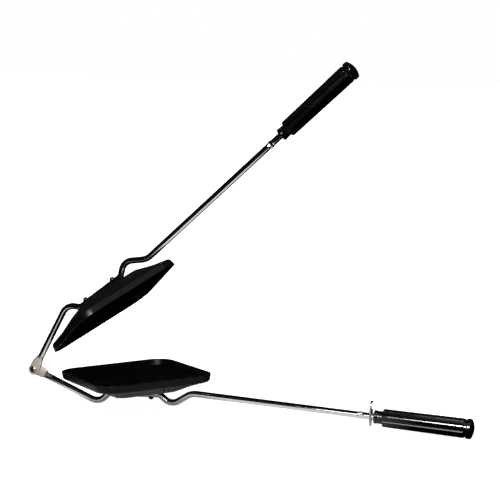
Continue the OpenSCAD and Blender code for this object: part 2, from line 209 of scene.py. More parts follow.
class Side(Enum):
    """The two halves of the toaster, by the body that each rides on."""

    LOWER = "lower"
    UPPER = "upper"

    @property
    def body(self) -> str:
        """Name of the CAD body."""
        return self.value + "_half"

    def node(self, rest: str) -> str:
        """Name of this half's CAD node or piece of a kind."""
        return f"{self.value}_{rest}"


@dataclass(frozen=True)
class Stance:
    """How the toaster lies and how far it stands open, read from the frame's joints."""

    hinge: Vector
    rest_tilt: float
    open_angle: float

    @classmethod
    def of_frame(cls, joints: list[dict], handle_angle: float) -> Stance:
        """Works the stance out.

        Args:
            joints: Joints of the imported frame.
            handle_angle: Angle in radians between the handle straight and the mating plane.

        Returns:
            The stance.
        """
        named = {j["name"]: j for j in joints}
        along_rod = Vector(named["clip_swing"]["axis"])
        tilt = handle_angle - math.atan2(-along_rod.z, along_rod.x)
        closing = math.radians(-named["hinge"]["range_deg"][0])
        return cls(Vector(named["hinge"]["pos_m"]), tilt, closing)

    def matrix(self, side: Side) -> Matrix:
        """Matrix that puts a half's side frame, in millimetres, into the row frame."""
        on_table = Matrix.Translation(self.hinge) @ Matrix.Rotation(-self.rest_tilt, 4, "Y")
        half = Matrix.Rotation(math.radians(-90), 4, "X")
        if side is Side.UPPER:
            half = Matrix.Rotation(-self.open_angle, 4, "Y") @ Matrix.Rotation(math.pi, 4, "X") @ half
        return on_table @ half @ Matrix.Scale(MM, 4)

    def place(self, mesh: bpy.types.Mesh, side: Side) -> bpy.types.Mesh:
        """Moves a mesh of a half from its side frame to the row frame."""
        mesh.transform(self.matrix(side))
        return mesh


# Finishes


@dataclass(frozen=True)
class Finish:
    """A finish: what the real surface is, as a procedural material."""

    name: str
    slot: str

    def make(self) -> bpy.types.Material:
        """Builds the material.

        Returns:
            The material, named after the finish.
        """
        material = bpy.data.materials.new(self.name)
        material.use_nodes = True
        tree = material.node_tree
        tree.nodes.clear()
        shader = add_node(tree, "ShaderNodeBsdfPrincipled")
        add_node(tree, "ShaderNodeOutputMaterial", {"Surface": shader})
        place = add_node(tree, "ShaderNodeTexCoord").outputs["Object"]
        self.dress(tree, shader, place)
        return material

    def dress(self, tree: bpy.types.NodeTree, shader: bpy.types.Node, place: bpy.types.NodeSocket) -> None:
        """Adds the finish's own patterns.

        Args:
            tree: The material's tree.
            shader: Its Principled shader.
            place: Object coordinates in metres.
        """
        raise NotImplementedError


@dataclass(frozen=True)
class BakedCoating(Finish):
    """Black PTFE non-stick coating, sprayed on pressed steel and baked: satin, with a fine orange peel,
    a brown film of old fat where it gets hottest, and grey metal where the rims rub."""

    coat: str = "#0f0e0e"
    coat_faded: str = "#1a1918"
    old_fat: str = "#24170f"
    bare_metal: str = "#55524e"
    peel_mm: float = 1.1
    mottle_mm: float = 16
    rub_mm: float = 3.4
    roughness: float = 0.27
    ior: float = 1.22

    def dress(self, tree: bpy.types.NodeTree, shader: bpy.types.Node, place: bpy.types.NodeSocket) -> None:
        """Adds mottling, fat film, rubbed rim and orange peel."""
        mottle = add_node(tree, "ShaderNodeTexNoise", {"Vector": place, "Scale": per_mm(self.mottle_mm), "Detail": 4})
        faded = add_node(tree, "ShaderNodeMix", {0: mottle, "A": linear(self.coat), "B": linear(self.coat_faded)},
                         data_type="RGBA")
        hot = add_node(tree, "ShaderNodeAttribute", attribute_name="hot")
        film_spots = add_node(tree, "ShaderNodeMapRange", {0: mottle, 1: 0.42, 2: 0.62})
        film = add_node(tree, "ShaderNodeMath", {0: hot.outputs["Fac"], 1: film_spots}, operation="MULTIPLY")
        browned = add_node(tree, "ShaderNodeMix", {0: film, "A": faded.outputs["Result"], "B": linear(self.old_fat)},
                           data_type="RGBA")
        rubbed = add_node(tree, "ShaderNodeAttribute", attribute_name="rubbed")
        grain = add_node(tree, "ShaderNodeTexNoise", {"Vector": place, "Scale": per_mm(self.rub_mm), "Detail": 6,
                                                      "Roughness": 0.7})
        chance = add_node(tree, "ShaderNodeMath", {0: rubbed.outputs["Fac"], 1: grain}, operation="MULTIPLY")
        bare = add_node(tree, "ShaderNodeMapRange", {0: chance, 1: 0.5, 2: 0.7})
        colour = add_node(tree, "ShaderNodeMix", {0: bare, "A": browned.outputs["Result"], "B": linear(self.bare_metal)},
                          data_type="RGBA")
        rough = add_node(tree, "ShaderNodeMapRange", {0: mottle, 1: 0.3, 2: 0.7, 3: self.roughness - 0.05,
                                                      4: self.roughness + 0.09})
        peel = add_node(tree, "ShaderNodeTexNoise", {"Vector": place, "Scale": per_mm(self.peel_mm), "Detail": 3})
        bump = add_node(tree, "ShaderNodeBump", {"Height": peel, "Strength": 0.14, "Distance": 0.06 * MM})
        shader.inputs["IOR"].default_value = self.ior
        tree.links.new(colour.outputs["Result"], shader.inputs["Base Color"])
        tree.links.new(bare.outputs[0], shader.inputs["Metallic"])
        tree.links.new(rough.outputs[0], shader.inputs["Roughness"])
        tree.links.new(bump.outputs[0], shader.inputs["Normal"])


@dataclass(frozen=True)
class BrightPlating(Finish):
    """Bright nickel-chrome plating on drawn steel: mirror-like with a faint grain, duller and paler where
    the metal was pressed flat, and tinted brown where the pan has heated it."""

    plate: str = "#d6d5d2"
    pressed_plate: str = "#d0c7bb"
    heat_tint: str = "#4c3527"
    haze_mm: float = 9
    grain_mm: float = 0.7
    roughness: float = 0.05
    pressed_roughness: float = 0.6

    def dress(self, tree: bpy.types.NodeTree, shader: bpy.types.Node, place: bpy.types.NodeSocket) -> None:
        """Adds haze, pressed areas and heat tint."""
        pressed = add_node(tree, "ShaderNodeAttribute", attribute_name="pressed")
        heat = add_node(tree, "ShaderNodeAttribute", attribute_name="heat")
        haze = add_node(tree, "ShaderNodeTexNoise", {"Vector": place, "Scale": per_mm(self.haze_mm), "Detail": 5,
                                                     "Roughness": 0.65})
        plate = add_node(tree, "ShaderNodeMix", {0: pressed.outputs["Fac"], "A": linear(self.plate),
                                                 "B": linear(self.pressed_plate)}, data_type="RGBA")
        patches = add_node(tree, "ShaderNodeMapRange", {0: haze, 1: 0.35, 2: 0.6})
        tint = add_node(tree, "ShaderNodeMath", {0: heat.outputs["Fac"], 1: patches}, operation="MULTIPLY")
        colour = add_node(tree, "ShaderNodeMix", {0: tint, "A": plate.outputs["Result"], "B": linear(self.heat_tint)},
                          data_type="RGBA")
        bright = add_node(tree, "ShaderNodeMapRange", {0: haze, 1: 0.3, 2: 0.7, 3: self.roughness,
                                                       4: self.roughness + 0.05})
        rough = add_node(tree, "ShaderNodeMix", {0: pressed.outputs["Fac"], "A": bright,
                                                 "B": self.pressed_roughness}, data_type="FLOAT")
        grain = add_node(tree, "ShaderNodeTexNoise", {"Vector": place, "Scale": per_mm(self.grain_mm), "Detail": 3})
        depth = add_node(tree, "ShaderNodeMapRange", {0: pressed.outputs["Fac"], 3: 0.004, 4: 0.3})
        bump = add_node(tree, "ShaderNodeBump", {"Height": grain, "Strength": depth, "Distance": 0.05 * MM})
        shader.inputs["Metallic"].default_value = 1.0
        tree.links.new(colour.outputs["Result"], shader.inputs["Base Color"])
        tree.links.new(rough.outputs["Result"], shader.inputs["Roughness"])
        tree.links.new(bump.outputs[0], shader.inputs["Normal"])


@dataclass(frozen=True)
class WorkedMetal(Finish):
    """Plain metal as it left the tool, such as a set rivet, a stamped washer or a turned nut: even colour with
    small darker pits and a grain that breaks up its shine."""

    metal: str = "#b3b0aa"
    pits: str = "#6f6b65"
    grain_mm: float = 0.6
    pit_mm: float = 3.5
    roughness: float = 0.28

    def dress(self, tree: bpy.types.NodeTree, shader: bpy.types.Node, place: bpy.types.NodeSocket) -> None:
        """Adds pits and grain."""
        spots = add_node(tree, "ShaderNodeTexNoise", {"Vector": place, "Scale": per_mm(self.pit_mm), "Detail": 5})
        share = add_node(tree, "ShaderNodeMapRange", {0: spots, 1: 0.55, 2: 0.75})
        colour = add_node(tree, "ShaderNodeMix", {0: share, "A": linear(self.metal), "B": linear(self.pits)},
                          data_type="RGBA")
        rough = add_node(tree, "ShaderNodeMapRange", {0: spots, 1: 0.3, 2: 0.7, 3: self.roughness - 0.06,
                                                      4: self.roughness + 0.1})
        grain = add_node(tree, "ShaderNodeTexNoise", {"Vector": place, "Scale": per_mm(self.grain_mm), "Detail": 4})
        bump = add_node(tree, "ShaderNodeBump", {"Height": grain, "Strength": 0.2, "Distance": 0.04 * MM})
        shader.inputs["Metallic"].default_value = 1.0
        tree.links.new(colour.outputs["Result"], shader.inputs["Base Color"])
        tree.links.new(rough.outputs[0], shader.inputs["Roughness"])
        tree.links.new(bump.outputs[0], shader.inputs["Normal"])


@dataclass(frozen=True)
class MouldedPhenolic(Finish):
    """Black phenolic plastic, compression moulded and polished: deep warm black with faint flow marks along the
    piece, and fine rub marks that soften its gloss."""

    body: str = "#120f0f"
    flow: str = "#140f0e"
    flow_mm: float = 6
    rub_mm: float = 0.9
    roughness: float = 0.14

    def dress(self, tree: bpy.types.NodeTree, shader: bpy.types.Node, place: bpy.types.NodeSocket) -> None:
        """Adds flow marks and rub marks."""
        along = add_node(tree, "ShaderNodeMapping", {"Vector": place, "Scale": (0.2, 1.0, 1.0)})
        marks = add_node(tree, "ShaderNodeTexNoise", {"Vector": along, "Scale": per_mm(self.flow_mm), "Detail": 5,
                                                      "Distortion": 0.6})
        share = add_node(tree, "ShaderNodeMapRange", {0: marks, 1: 0.4, 2: 0.75})
        colour = add_node(tree, "ShaderNodeMix", {0: share, "A": linear(self.body), "B": linear(self.flow)},
                          data_type="RGBA")
        rough = add_node(tree, "ShaderNodeMapRange", {0: marks, 1: 0.3, 2: 0.7, 3: self.roughness - 0.03,
                                                      4: self.roughness + 0.06})
        rubs = add_node(tree, "ShaderNodeTexNoise", {"Vector": place, "Scale": per_mm(self.rub_mm), "Detail": 4})
        bump = add_node(tree, "ShaderNodeBump", {"Height": rubs, "Strength": 0.12, "Distance": 0.03 * MM})
        tree.links.new(colour.outputs["Result"], shader.inputs["Base Color"])
        tree.links.new(rough.outputs[0], shader.inputs["Roughness"])
        tree.links.new(bump.outputs[0], shader.inputs["Normal"])


FINISHES = (
    BakedCoating("baked_nonstick_coating", "pan_coating"),
    BrightPlating("nickel_chrome_plating", "rod_chrome"),
    WorkedMetal("set_rivet_steel", "hinge_steel", metal="#bdbab4", roughness=0.22),
    WorkedMetal("heat_dulled_rivet_steel", "rivet_steel", metal="#353130", pits="#1d1a18", roughness=0.34),
    WorkedMetal("zinc_plated_washer", "washer_steel", metal="#a9abac", pits="#7c7e80", roughness=0.32),
    WorkedMetal("turned_brass", "nut_brass", metal="#c9a85c", pits="#86683a", roughness=0.26),
    MouldedPhenolic("moulded_black_phenolic", "grip_plastic"),
    BrightPlating("plated_stamped_sheet", "clip_steel", plate="#9c9c99", roughness=0.26),
)


class FinishRack:
    """Every finish of the toaster as a material, by the record's slot."""

    def __init__(self, finishes: Iterable[Finish]) -> None:
        """Builds the materials."""
        self.by_slot = {f.slot: f.make() for f in finishes}

    def dress_node(self, node: str, slot: str) -> None:
        """Gives a CAD node that stays in view its material."""
        materials = frame["nodes"][node].data.materials
        materials.clear()
        materials.append(self.by_slot[slot])

    def __getitem__(self, slot: str) -> bpy.types.Material:
        """Material of a slot."""
        return self.by_slot[slot]


# Geometry trees


class SweepTree:
    """Geometry tree that sweeps a rounded section along a path: rods, grips and caps are made by it."""

    FLOATS = ("wide", "thick", "edge", "shift", "fluted", "flute_offset")

    def __init__(self) -> None:
        """Builds the tree."""
        self.tree = bpy.data.node_groups.new("swept_section", "GeometryNodeTree")
        sockets = self.tree.interface
        sockets.new_socket("Path", in_out="INPUT", socket_type="NodeSocketGeometry")
        sockets.new_socket("Around", in_out="INPUT", socket_type="NodeSocketInt").default_value = 32
        sockets.new_socket("Flutes", in_out="INPUT", socket_type="NodeSocketInt").default_value = 8
        sockets.new_socket("Flute Radius", in_out="INPUT", socket_type="NodeSocketFloat").default_value = 6
        sockets.new_socket("Ridge Softness", in_out="INPUT", socket_type="NodeSocketFloat").default_value = 0.3
        sockets.new_socket("Finish", in_out="INPUT", socket_type="NodeSocketMaterial")
        sockets.new_socket("Body", in_out="OUTPUT", socket_type="NodeSocketGeometry")
        self.build()

    def build(self) -> None:
        """Adds the nodes."""
        tree = self.tree
        given = add_node(tree, "NodeGroupInput").outputs
        line = add_node(tree, "GeometryNodeMeshToCurve", {"Mesh": given["Path"]})
        place = add_node(tree, "GeometryNodeInputPosition")
        path = add_node(tree, "GeometryNodeStoreNamedAttribute",
                        {"Geometry": line, "Name": "centre", "Value": place}, data_type="FLOAT_VECTOR", domain="POINT")
        ring = add_node(tree, "GeometryNodeCurvePrimitiveCircle", {"Resolution": given["Around"], "Radius": 1.0})
        # Half a step of turn keeps points off the axes, where a rounded bar has its flat faces
        half_step = add_node(tree, "ShaderNodeMath", {0: math.pi, 1: given["Around"]}, operation="DIVIDE")
        turn = add_node(tree, "ShaderNodeCombineXYZ", {"Z": half_step})
        turned = add_node(tree, "GeometryNodeTransform", {"Geometry": ring, "Rotation": turn})
        section = add_node(tree, "GeometryNodeStoreNamedAttribute",
                           {"Geometry": turned, "Name": "round", "Value": place}, data_type="FLOAT_VECTOR",
                           domain="POINT")
        tube = add_node(tree, "GeometryNodeCurveToMesh", {"Curve": path, "Profile Curve": section, "Fill Caps": True})
        at = {n: add_node(tree, "GeometryNodeInputNamedAttribute", {"Name": n}, data_type="FLOAT") for n in self.FLOATS}
        vector = {n: add_node(tree, "GeometryNodeInputNamedAttribute", {"Name": n}, data_type="FLOAT_VECTOR")
                  for n in ("centre", "across", "round")}
        unit = add_node(tree, "ShaderNodeSeparateXYZ", {0: vector["round"]}).outputs
        kept = self.fluting(given, at, unit)
        sizes = []
        for axis, half in (("X", at["wide"]), ("Y", at["thick"])):
            flat = add_node(tree, "ShaderNodeMath", {0: half, 1: at["edge"]}, operation="SUBTRACT")
            way = add_node(tree, "ShaderNodeMath", {0: unit[axis]}, operation="SIGN")
            to_flat = add_node(tree, "ShaderNodeMath", {0: way, 1: flat}, operation="MULTIPLY")
            full = add_node(tree, "ShaderNodeMath", {0: at["edge"], 1: unit[axis], 2: to_flat},
                            operation="MULTIPLY_ADD")
            sizes.append(add_node(tree, "ShaderNodeMath", {0: full, 1: kept}, operation="MULTIPLY"))
        shift = add_node(tree, "ShaderNodeMath", {0: sizes[1], 1: at["shift"]}, operation="ADD")
        out_of_plane = add_node(tree, "ShaderNodeCombineXYZ", {"Z": shift})
        in_plane = add_node(tree, "ShaderNodeVectorMath", {0: vector["across"], "Scale": sizes[0]}, operation="SCALE")
        offset = add_node(tree, "ShaderNodeVectorMath", {0: in_plane, 1: out_of_plane}, operation="ADD")
        where = add_node(tree, "ShaderNodeVectorMath", {0: vector["centre"], 1: offset}, operation="ADD")
        moved = add_node(tree, "GeometryNodeSetPosition", {"Geometry": tube, "Position": where})
        real = add_node(tree, "GeometryNodeRealizeInstances", {"Geometry": moved})
        dressed = add_node(tree, "GeometryNodeSetMaterial", {"Geometry": real, "Material": given["Finish"]})
        add_node(tree, "NodeGroupOutput", {"Body": dressed})

    def fluting(self, given: Any, at: dict[str, bpy.types.Node], unit: Any) -> bpy.types.Node:
        """Adds the nodes that hollow the section with round flutes.

        Args:
            given: The tree's inputs.
            at: Attributes of the path by name.
            unit: Point of the unit circle, as its coordinates.

        Returns:
            Node with the share of the full section that stays.
        """
        tree = self.tree
        angle = add_node(tree, "ShaderNodeMath", {0: unit["Y"], 1: unit["X"]}, operation="ARCTAN2")
        step = add_node(tree, "ShaderNodeMath", {0: 2 * math.pi, 1: given["Flutes"]}, operation="DIVIDE")
        nearest = add_node(tree, "ShaderNodeMath", {0: angle, 1: step}, operation="SNAP")
        low = add_node(tree, "ShaderNodeMath", {0: angle, 1: nearest}, operation="SUBTRACT")
        half = add_node(tree, "ShaderNodeMath", {0: step, 1: 0.5}, operation="MULTIPLY")
        # Snap goes down to the flute below, so an angle in the upper half belongs to the next flute
        upper = add_node(tree, "ShaderNodeMath", {0: low, 1: half}, operation="GREATER_THAN")
        back = add_node(tree, "ShaderNodeMath", {0: upper, 1: step}, operation="MULTIPLY")
        off_middle = add_node(tree, "ShaderNodeMath", {0: low, 1: back}, operation="SUBTRACT")
        cosine = add_node(tree, "ShaderNodeMath", {0: off_middle}, operation="COSINE")
        sine = add_node(tree, "ShaderNodeMath", {0: off_middle}, operation="SINE")
        along = add_node(tree, "ShaderNodeMath", {0: at["flute_offset"], 1: cosine}, operation="MULTIPLY")
        beside = add_node(tree, "ShaderNodeMath", {0: at["flute_offset"], 1: sine}, operation="MULTIPLY")
        radius = given["Flute Radius"]
        whole = add_node(tree, "ShaderNodeMath", {0: radius, 1: radius}, operation="MULTIPLY")
        used = add_node(tree, "ShaderNodeMath", {0: beside, 1: beside}, operation="MULTIPLY")
        left = add_node(tree, "ShaderNodeMath", {0: whole, 1: used}, operation="SUBTRACT")
        real = add_node(tree, "ShaderNodeMath", {0: left, 1: 0.0}, operation="MAXIMUM")
        reach = add_node(tree, "ShaderNodeMath", {0: real}, operation="SQRT")
        flute = add_node(tree, "ShaderNodeMath", {0: along, 1: reach}, operation="SUBTRACT")
        kept = add_node(tree, "ShaderNodeMath", {0: at["wide"], 1: flute, 2: given["Ridge Softness"]},
                        operation="SMOOTH_MIN")
        share = add_node(tree, "ShaderNodeMath", {0: kept, 1: at["wide"]}, operation="DIVIDE")
        less = add_node(tree, "ShaderNodeMath", {0: share, 1: 1.0}, operation="SUBTRACT")
        return add_node(tree, "ShaderNodeMath", {0: less, 1: at["fluted"], 2: 1.0}, operation="MULTIPLY_ADD")


@dataclass
class Station:
    """One section of a swept piece: place, direction and half sizes in millimetres."""

    x: float
    y: float
    angle: float
    wide: float
    thick: float | None = None
    edge: float | None = None
    shift: float = 0.0
    fluted: float = 0.0
    flute_offset: float = 1.0
    heat: float = 0.0
    pressed: float = 0.0


def swept(tree: SweepTree, stations: Sequence[Station], around: int, finish: bpy.types.Material,
          **values: float) -> bpy.types.Mesh:
    """Sweeps a section through stations.

    Args:
        tree: The sweep tree.
        stations: Sections in order along the path.
        around: Points round the section.
        finish: Material of the mesh.
        values: Further named inputs of the tree, with _ for a space.

    Returns:
        Closed mesh in the side frame, in millimetres.
    """
    round_only = [(s, s.wide if s.thick is None else s.thick) for s in stations]
    floats = {
        "wide": [s.wide for s in stations],
        "thick": [thick for _, thick in round_only],
        "edge": [min(s.wide, thick) if s.edge is None else s.edge for s, thick in round_only],
        "shift": [s.shift for s in stations],
        "fluted": [s.fluted for s in stations],
        "flute_offset": [s.flute_offset for s in stations],
        "heat": [s.heat for s in stations],
        "pressed": [s.pressed for s in stations],
    }
    across = [(-math.sin(s.angle), math.cos(s.angle), 0) for s in stations]
    start = points_mesh("path", [(s.x, s.y, 0) for s in stations], True, floats, {"across": across})
    inputs = {name.replace("_", " "): value for name, value in values.items()}
    return run_tree(tree.tree, start, {"Around": around, "Finish": finish, **inputs})


class RivetTree:
    """Geometry tree that sets a rivet with two domed heads at each of the given points."""

    def __init__(self) -> None:
        """Builds the tree."""
        self.tree = bpy.data.node_groups.new("set_rivets", "GeometryNodeTree")
        sockets = self.tree.interface
        sockets.new_socket("Places", in_out="INPUT", socket_type="NodeSocketGeometry")
        for name in ("Head Diameter", "Head Height", "Tail Diameter", "Tail Height", "Shank Diameter", "Grip Length"):
            sockets.new_socket(name, in_out="INPUT", socket_type="NodeSocketFloat")
        sockets.new_socket("Turn", in_out="INPUT", socket_type="NodeSocketVector")
        sockets.new_socket("Finish", in_out="INPUT", socket_type="NodeSocketMaterial")
        sockets.new_socket("Rivets", in_out="OUTPUT", socket_type="NodeSocketGeometry")
        self.build()

    def dome(self, diameter: Any, height: Any, lift: Any, way: float) -> bpy.types.Node:
        """Adds a domed head.

        Args:
            diameter: Socket with the head's diameter.
            height: Socket with its height.
            lift: Node or number with the level of its flat side.
            way: 1 for a dome that points up, -1 for one that points down.

        Returns:
            Node with the head's geometry.
        """
        tree = self.tree
        ball = add_node(tree, "GeometryNodeMeshUVSphere", {"Segments": 40, "Rings": 20, "Radius": 1.0})
        place = add_node(tree, "ShaderNodeSeparateXYZ", {0: add_node(tree, "GeometryNodeInputPosition")}).outputs
        radius = add_node(tree, "ShaderNodeMath", {0: diameter, 1: 0.5}, operation="MULTIPLY")
        x = add_node(tree, "ShaderNodeMath", {0: place["X"], 1: radius}, operation="MULTIPLY")
        y = add_node(tree, "ShaderNodeMath", {0: place["Y"], 1: radius}, operation="MULTIPLY")
        # The half of the ball below the flat side is pressed onto it, which closes the head
        over = add_node(tree, "ShaderNodeMath", {0: place["Z"], 1: 0.0}, operation="MAXIMUM")
        rise = add_node(tree, "ShaderNodeMath", {0: over, 1: height}, operation="MULTIPLY")
        z = add_node(tree, "ShaderNodeMath", {0: rise, 1: way, 2: lift}, operation="MULTIPLY_ADD")
        where = add_node(tree, "ShaderNodeCombineXYZ", {"X": x, "Y": y, "Z": z})
        return add_node(tree, "GeometryNodeSetPosition", {"Geometry": ball, "Position": where})

    def build(self) -> None:
        """Adds the nodes."""
        tree = self.tree
        given = add_node(tree, "NodeGroupInput").outputs
        head = self.dome(given["Head Diameter"], given["Head Height"], given["Grip Length"], 1.0)
        tail = self.dome(given["Tail Diameter"], given["Tail Height"], 0.0, -1.0)
        radius = add_node(tree, "ShaderNodeMath", {0: given["Shank Diameter"], 1: 0.5}, operation="MULTIPLY")
        shank = add_node(tree, "GeometryNodeMeshCylinder", {"Vertices": 32, "Radius": radius,
                                                            "Depth": given["Grip Length"]})
        half = add_node(tree, "ShaderNodeMath", {0: given["Grip Length"], 1: 0.5}, operation="MULTIPLY")
        lift = add_node(tree, "ShaderNodeCombineXYZ", {"Z": half})
        raised = add_node(tree, "GeometryNodeTransform", {"Geometry": shank, "Translation": lift})
        rivet = add_node(tree, "GeometryNodeJoinGeometry")
        for part in (head, tail, raised):
            tree.links.new(part.outputs[0], rivet.inputs[0])
        turned = add_node(tree, "FunctionNodeEulerToRotation", {0: given["Turn"]})
        spots = add_node(tree, "GeometryNodeMeshToPoints", {"Mesh": given["Places"]})
        placed = add_node(tree, "GeometryNodeInstanceOnPoints",
                          {"Points": spots, "Instance": rivet, "Rotation": turned})
        real = add_node(tree, "GeometryNodeRealizeInstances", {"Geometry": placed})
        dressed = add_node(tree, "GeometryNodeSetMaterial", {"Geometry": real, "Material": given["Finish"]})
        add_node(tree, "NodeGroupOutput", {"Rivets": dressed})


# Outlines


@dataclass(frozen=True)
class Corner:
    """The rounded corner b of a line a, b, c."""

    first: np.ndarray
    last: np.ndarray
    centre: np.ndarray
    start: float
    sweep: float
    radius: float

    @classmethod
    def of(cls, a: Sequence, b: Sequence, c: Sequence, radius: float) -> Corner:
        """Rounds b between a and c with the given radius."""
        a, b, c = (np.array(p, float) for p in (a, b, c))
        to_a = (a - b) / np.linalg.norm(a - b)
        to_c = (c - b) / np.linalg.norm(c - b)
        half = math.acos(float(np.clip(to_a @ to_c, -1, 1))) / 2
        first = b + to_a * radius / math.tan(half)
        last = b + to_c * radius / math.tan(half)
        middle = to_a + to_c
        centre = b + middle / np.linalg.norm(middle) * radius / math.sin(half)
        side = math.copysign(1, to_a[0] * to_c[1] - to_a[1] * to_c[0])
        start = math.atan2(first[1] - centre[1], first[0] - centre[0])
        return cls(first, last, centre, start, -side * (math.pi - 2 * half), radius)

    def points(self, steps: int) -> list[tuple[float, float]]:
        """Points along the rounding, both ends among them."""
        angles = [self.start + self.sweep * k / steps for k in range(steps + 1)]
        return [(self.centre[0] + self.radius * math.cos(a), self.centre[1] + self.radius * math.sin(a))
                for a in angles]


def rounded_line(points: Sequence, radii: Sequence[float], steps: int) -> list[tuple[float, float]]:
    """Line through points with its inner corners rounded.

    Args:
        points: Corners of the line.
        radii: Radius of each inner corner.
        steps: Straight steps in each rounding.

    Returns:
        Points of the rounded line.
    """
    line = [tuple(points[0])]
    for k in range(1, len(points) - 1):
        line += Corner.of(points[k - 1], points[k], points[k + 1], radii[k - 1]).points(steps)
    return line + [tuple(points[-1])]


# The toaster's pieces


@dataclass(frozen=True)
class PressedPan:
    """One pan: a square sheet pressed into a shallow pocket with a sloped border and an upright rim."""

    side: float = 115
    corner_r: float = 19
    corner_taper: float = 0.4
    rim_height: float = 7
    rim_lean: float = 1
    shoulder_width: float = 12.5
    shoulder_rise: float = 4
    slope_width: float = 14
    slope_rise: float = 6.5
    wall: float = 1.5
    rim_edge_r: float = 2.8
    shoulder_r: float = 14
    crown_r: float = 8
    rim_gap: float = 0.3
    lip_edge_r: float = 0.35
    hinge_to_rim: float = 29.5
    corner_steps: int = 14
    side_steps: int = 12
    fillet_steps: int = 8

    @property
    def depth(self) -> float:
        """Height of the pan's flat over the mating plane."""
        return self.rim_height + self.shoulder_rise + self.slope_rise

    @property
    def crown_inset(self) -> float:
        """Distance of the flat's edge from the rim."""
        return self.rim_lean + self.shoulder_width + self.slope_width

    @property
    def centre(self) -> float:
        """Distance of the pan's middle from the hinge."""
        return self.hinge_to_rim + self.half_diagonal(0)

    def half_diagonal(self, inset: float) -> float:
        """Half the diagonal of the rounded square at an inset from the rim."""
        side = self.side - 2 * inset
        radius = self.corner_r - self.corner_taper * inset
        return side / 2 * math.sqrt(2) - radius * (math.sqrt(2) - 1)

    def profile(self) -> list[tuple[float, float]]:
        """Closed line of the wall: distance in from the rim, then depth, from the inner flat to the outer one."""
        outer = np.array([
            (0, self.rim_gap / 2),
            (self.rim_lean, self.rim_height),
            (self.rim_lean + self.shoulder_width, self.rim_height + self.shoulder_rise),
            (self.crown_inset, self.depth),
            (self.crown_inset + self.crown_r, self.depth),
        ])
        ways = np.diff(outer, axis=0)
        ways /= np.linalg.norm(ways, axis=1)[:, None]
        normals = np.stack([ways[:, 1], -ways[:, 0]], -1)
        inner = [(self.wall / normals[0][0], self.rim_gap / 2)]
        for k in range(1, len(outer)):
            one, two = normals[k - 1], normals[min(k, len(normals) - 1)]
            inner.append(outer[k] + self.wall * (one + two) / (1 + one @ two))
        corners = [*inner[::-1], *outer]
        radii = [
            self.crown_r - self.wall, self.shoulder_r + self.wall, self.rim_edge_r - self.wall,
            self.lip_edge_r, self.lip_edge_r,
            self.rim_edge_r, self.shoulder_r, self.crown_r,
        ]
        return rounded_line(corners, radii, self.fillet_steps)

    def ring(self, inset: float, depth: float) -> np.ndarray:
        """Rounded square round the pan's middle, turned to stand on its corner."""
        radius = self.corner_r - self.corner_taper * inset
        half = self.side / 2 - inset - radius
        points = []
        for quarter in range(4):
            middle = math.radians(90 * quarter + 45)
            cx, cy = math.copysign(half, math.cos(middle)), math.copysign(half, math.sin(middle))
            for k in range(self.corner_steps + 1):
                a = math.radians(90 * (quarter + k / self.corner_steps))
                points.append((cx + radius * math.cos(a), cy + radius * math.sin(a)))
            last = points[-1]
            way = math.radians(90 * (quarter + 2))
            for k in range(1, self.side_steps):
                run = 2 * half * k / self.side_steps
                points.append((last[0] + run * math.cos(way), last[1] + run * math.sin(way)))
        flat = np.array(points)
        turn = math.sqrt(0.5)
        x = self.centre + (flat[:, 0] - flat[:, 1]) * turn
        z = (flat[:, 0] + flat[:, 1]) * turn
        return np.stack([x, np.full(len(x), depth), z], -1)

    def build(self, side: Side, stance: Stance, rack: FinishRack) -> bpy.types.Object:
        """Makes one pan.

        Args:
            side: Half of the toaster.
            stance: Where the halves are.
            rack: Materials.

        Returns:
            The pan, riding on its half in place of its CAD node.
        """
        profile = self.profile()
        rings = [self.ring(*at) for at in profile]
        count = len(rings[0])
        vertices = np.concatenate(rings)
        faces = [
            (k * count + i, k * count + (i + 1) % count, (k + 1) * count + (i + 1) % count, (k + 1) * count + i)
            for k in range(len(rings) - 1)
            for i in range(count)
        ]
        faces += [tuple(range(count)), tuple(range((len(rings) - 1) * count, len(rings) * count))]
        mesh = bpy.data.meshes.new(side.node("pan"))
        mesh.from_pydata([tuple(v) for v in vertices], [], faces)
        lip = [smooth((3 * self.lip_edge_r - abs(at[1] - self.rim_gap / 2)) / (2 * self.lip_edge_r)) for at in profile]
        hot = [smooth((at[1] - self.rim_height) / (self.depth - self.rim_height)) for at in profile]
        for name, levels in (("rubbed", lip), ("hot", hot)):
            values = np.repeat(np.array(levels, np.float32), count)
            mesh.attributes.new(name, "FLOAT", "POINT").data.foreach_set("value", values)
        stance.place(mesh, side)
        tidy_mesh(mesh, 40)
        pan = show(side.node("pressed_pan"), mesh, rack["pan_coating"])
        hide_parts(side.node("pan"))
        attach(pan, side.body)
        return pan


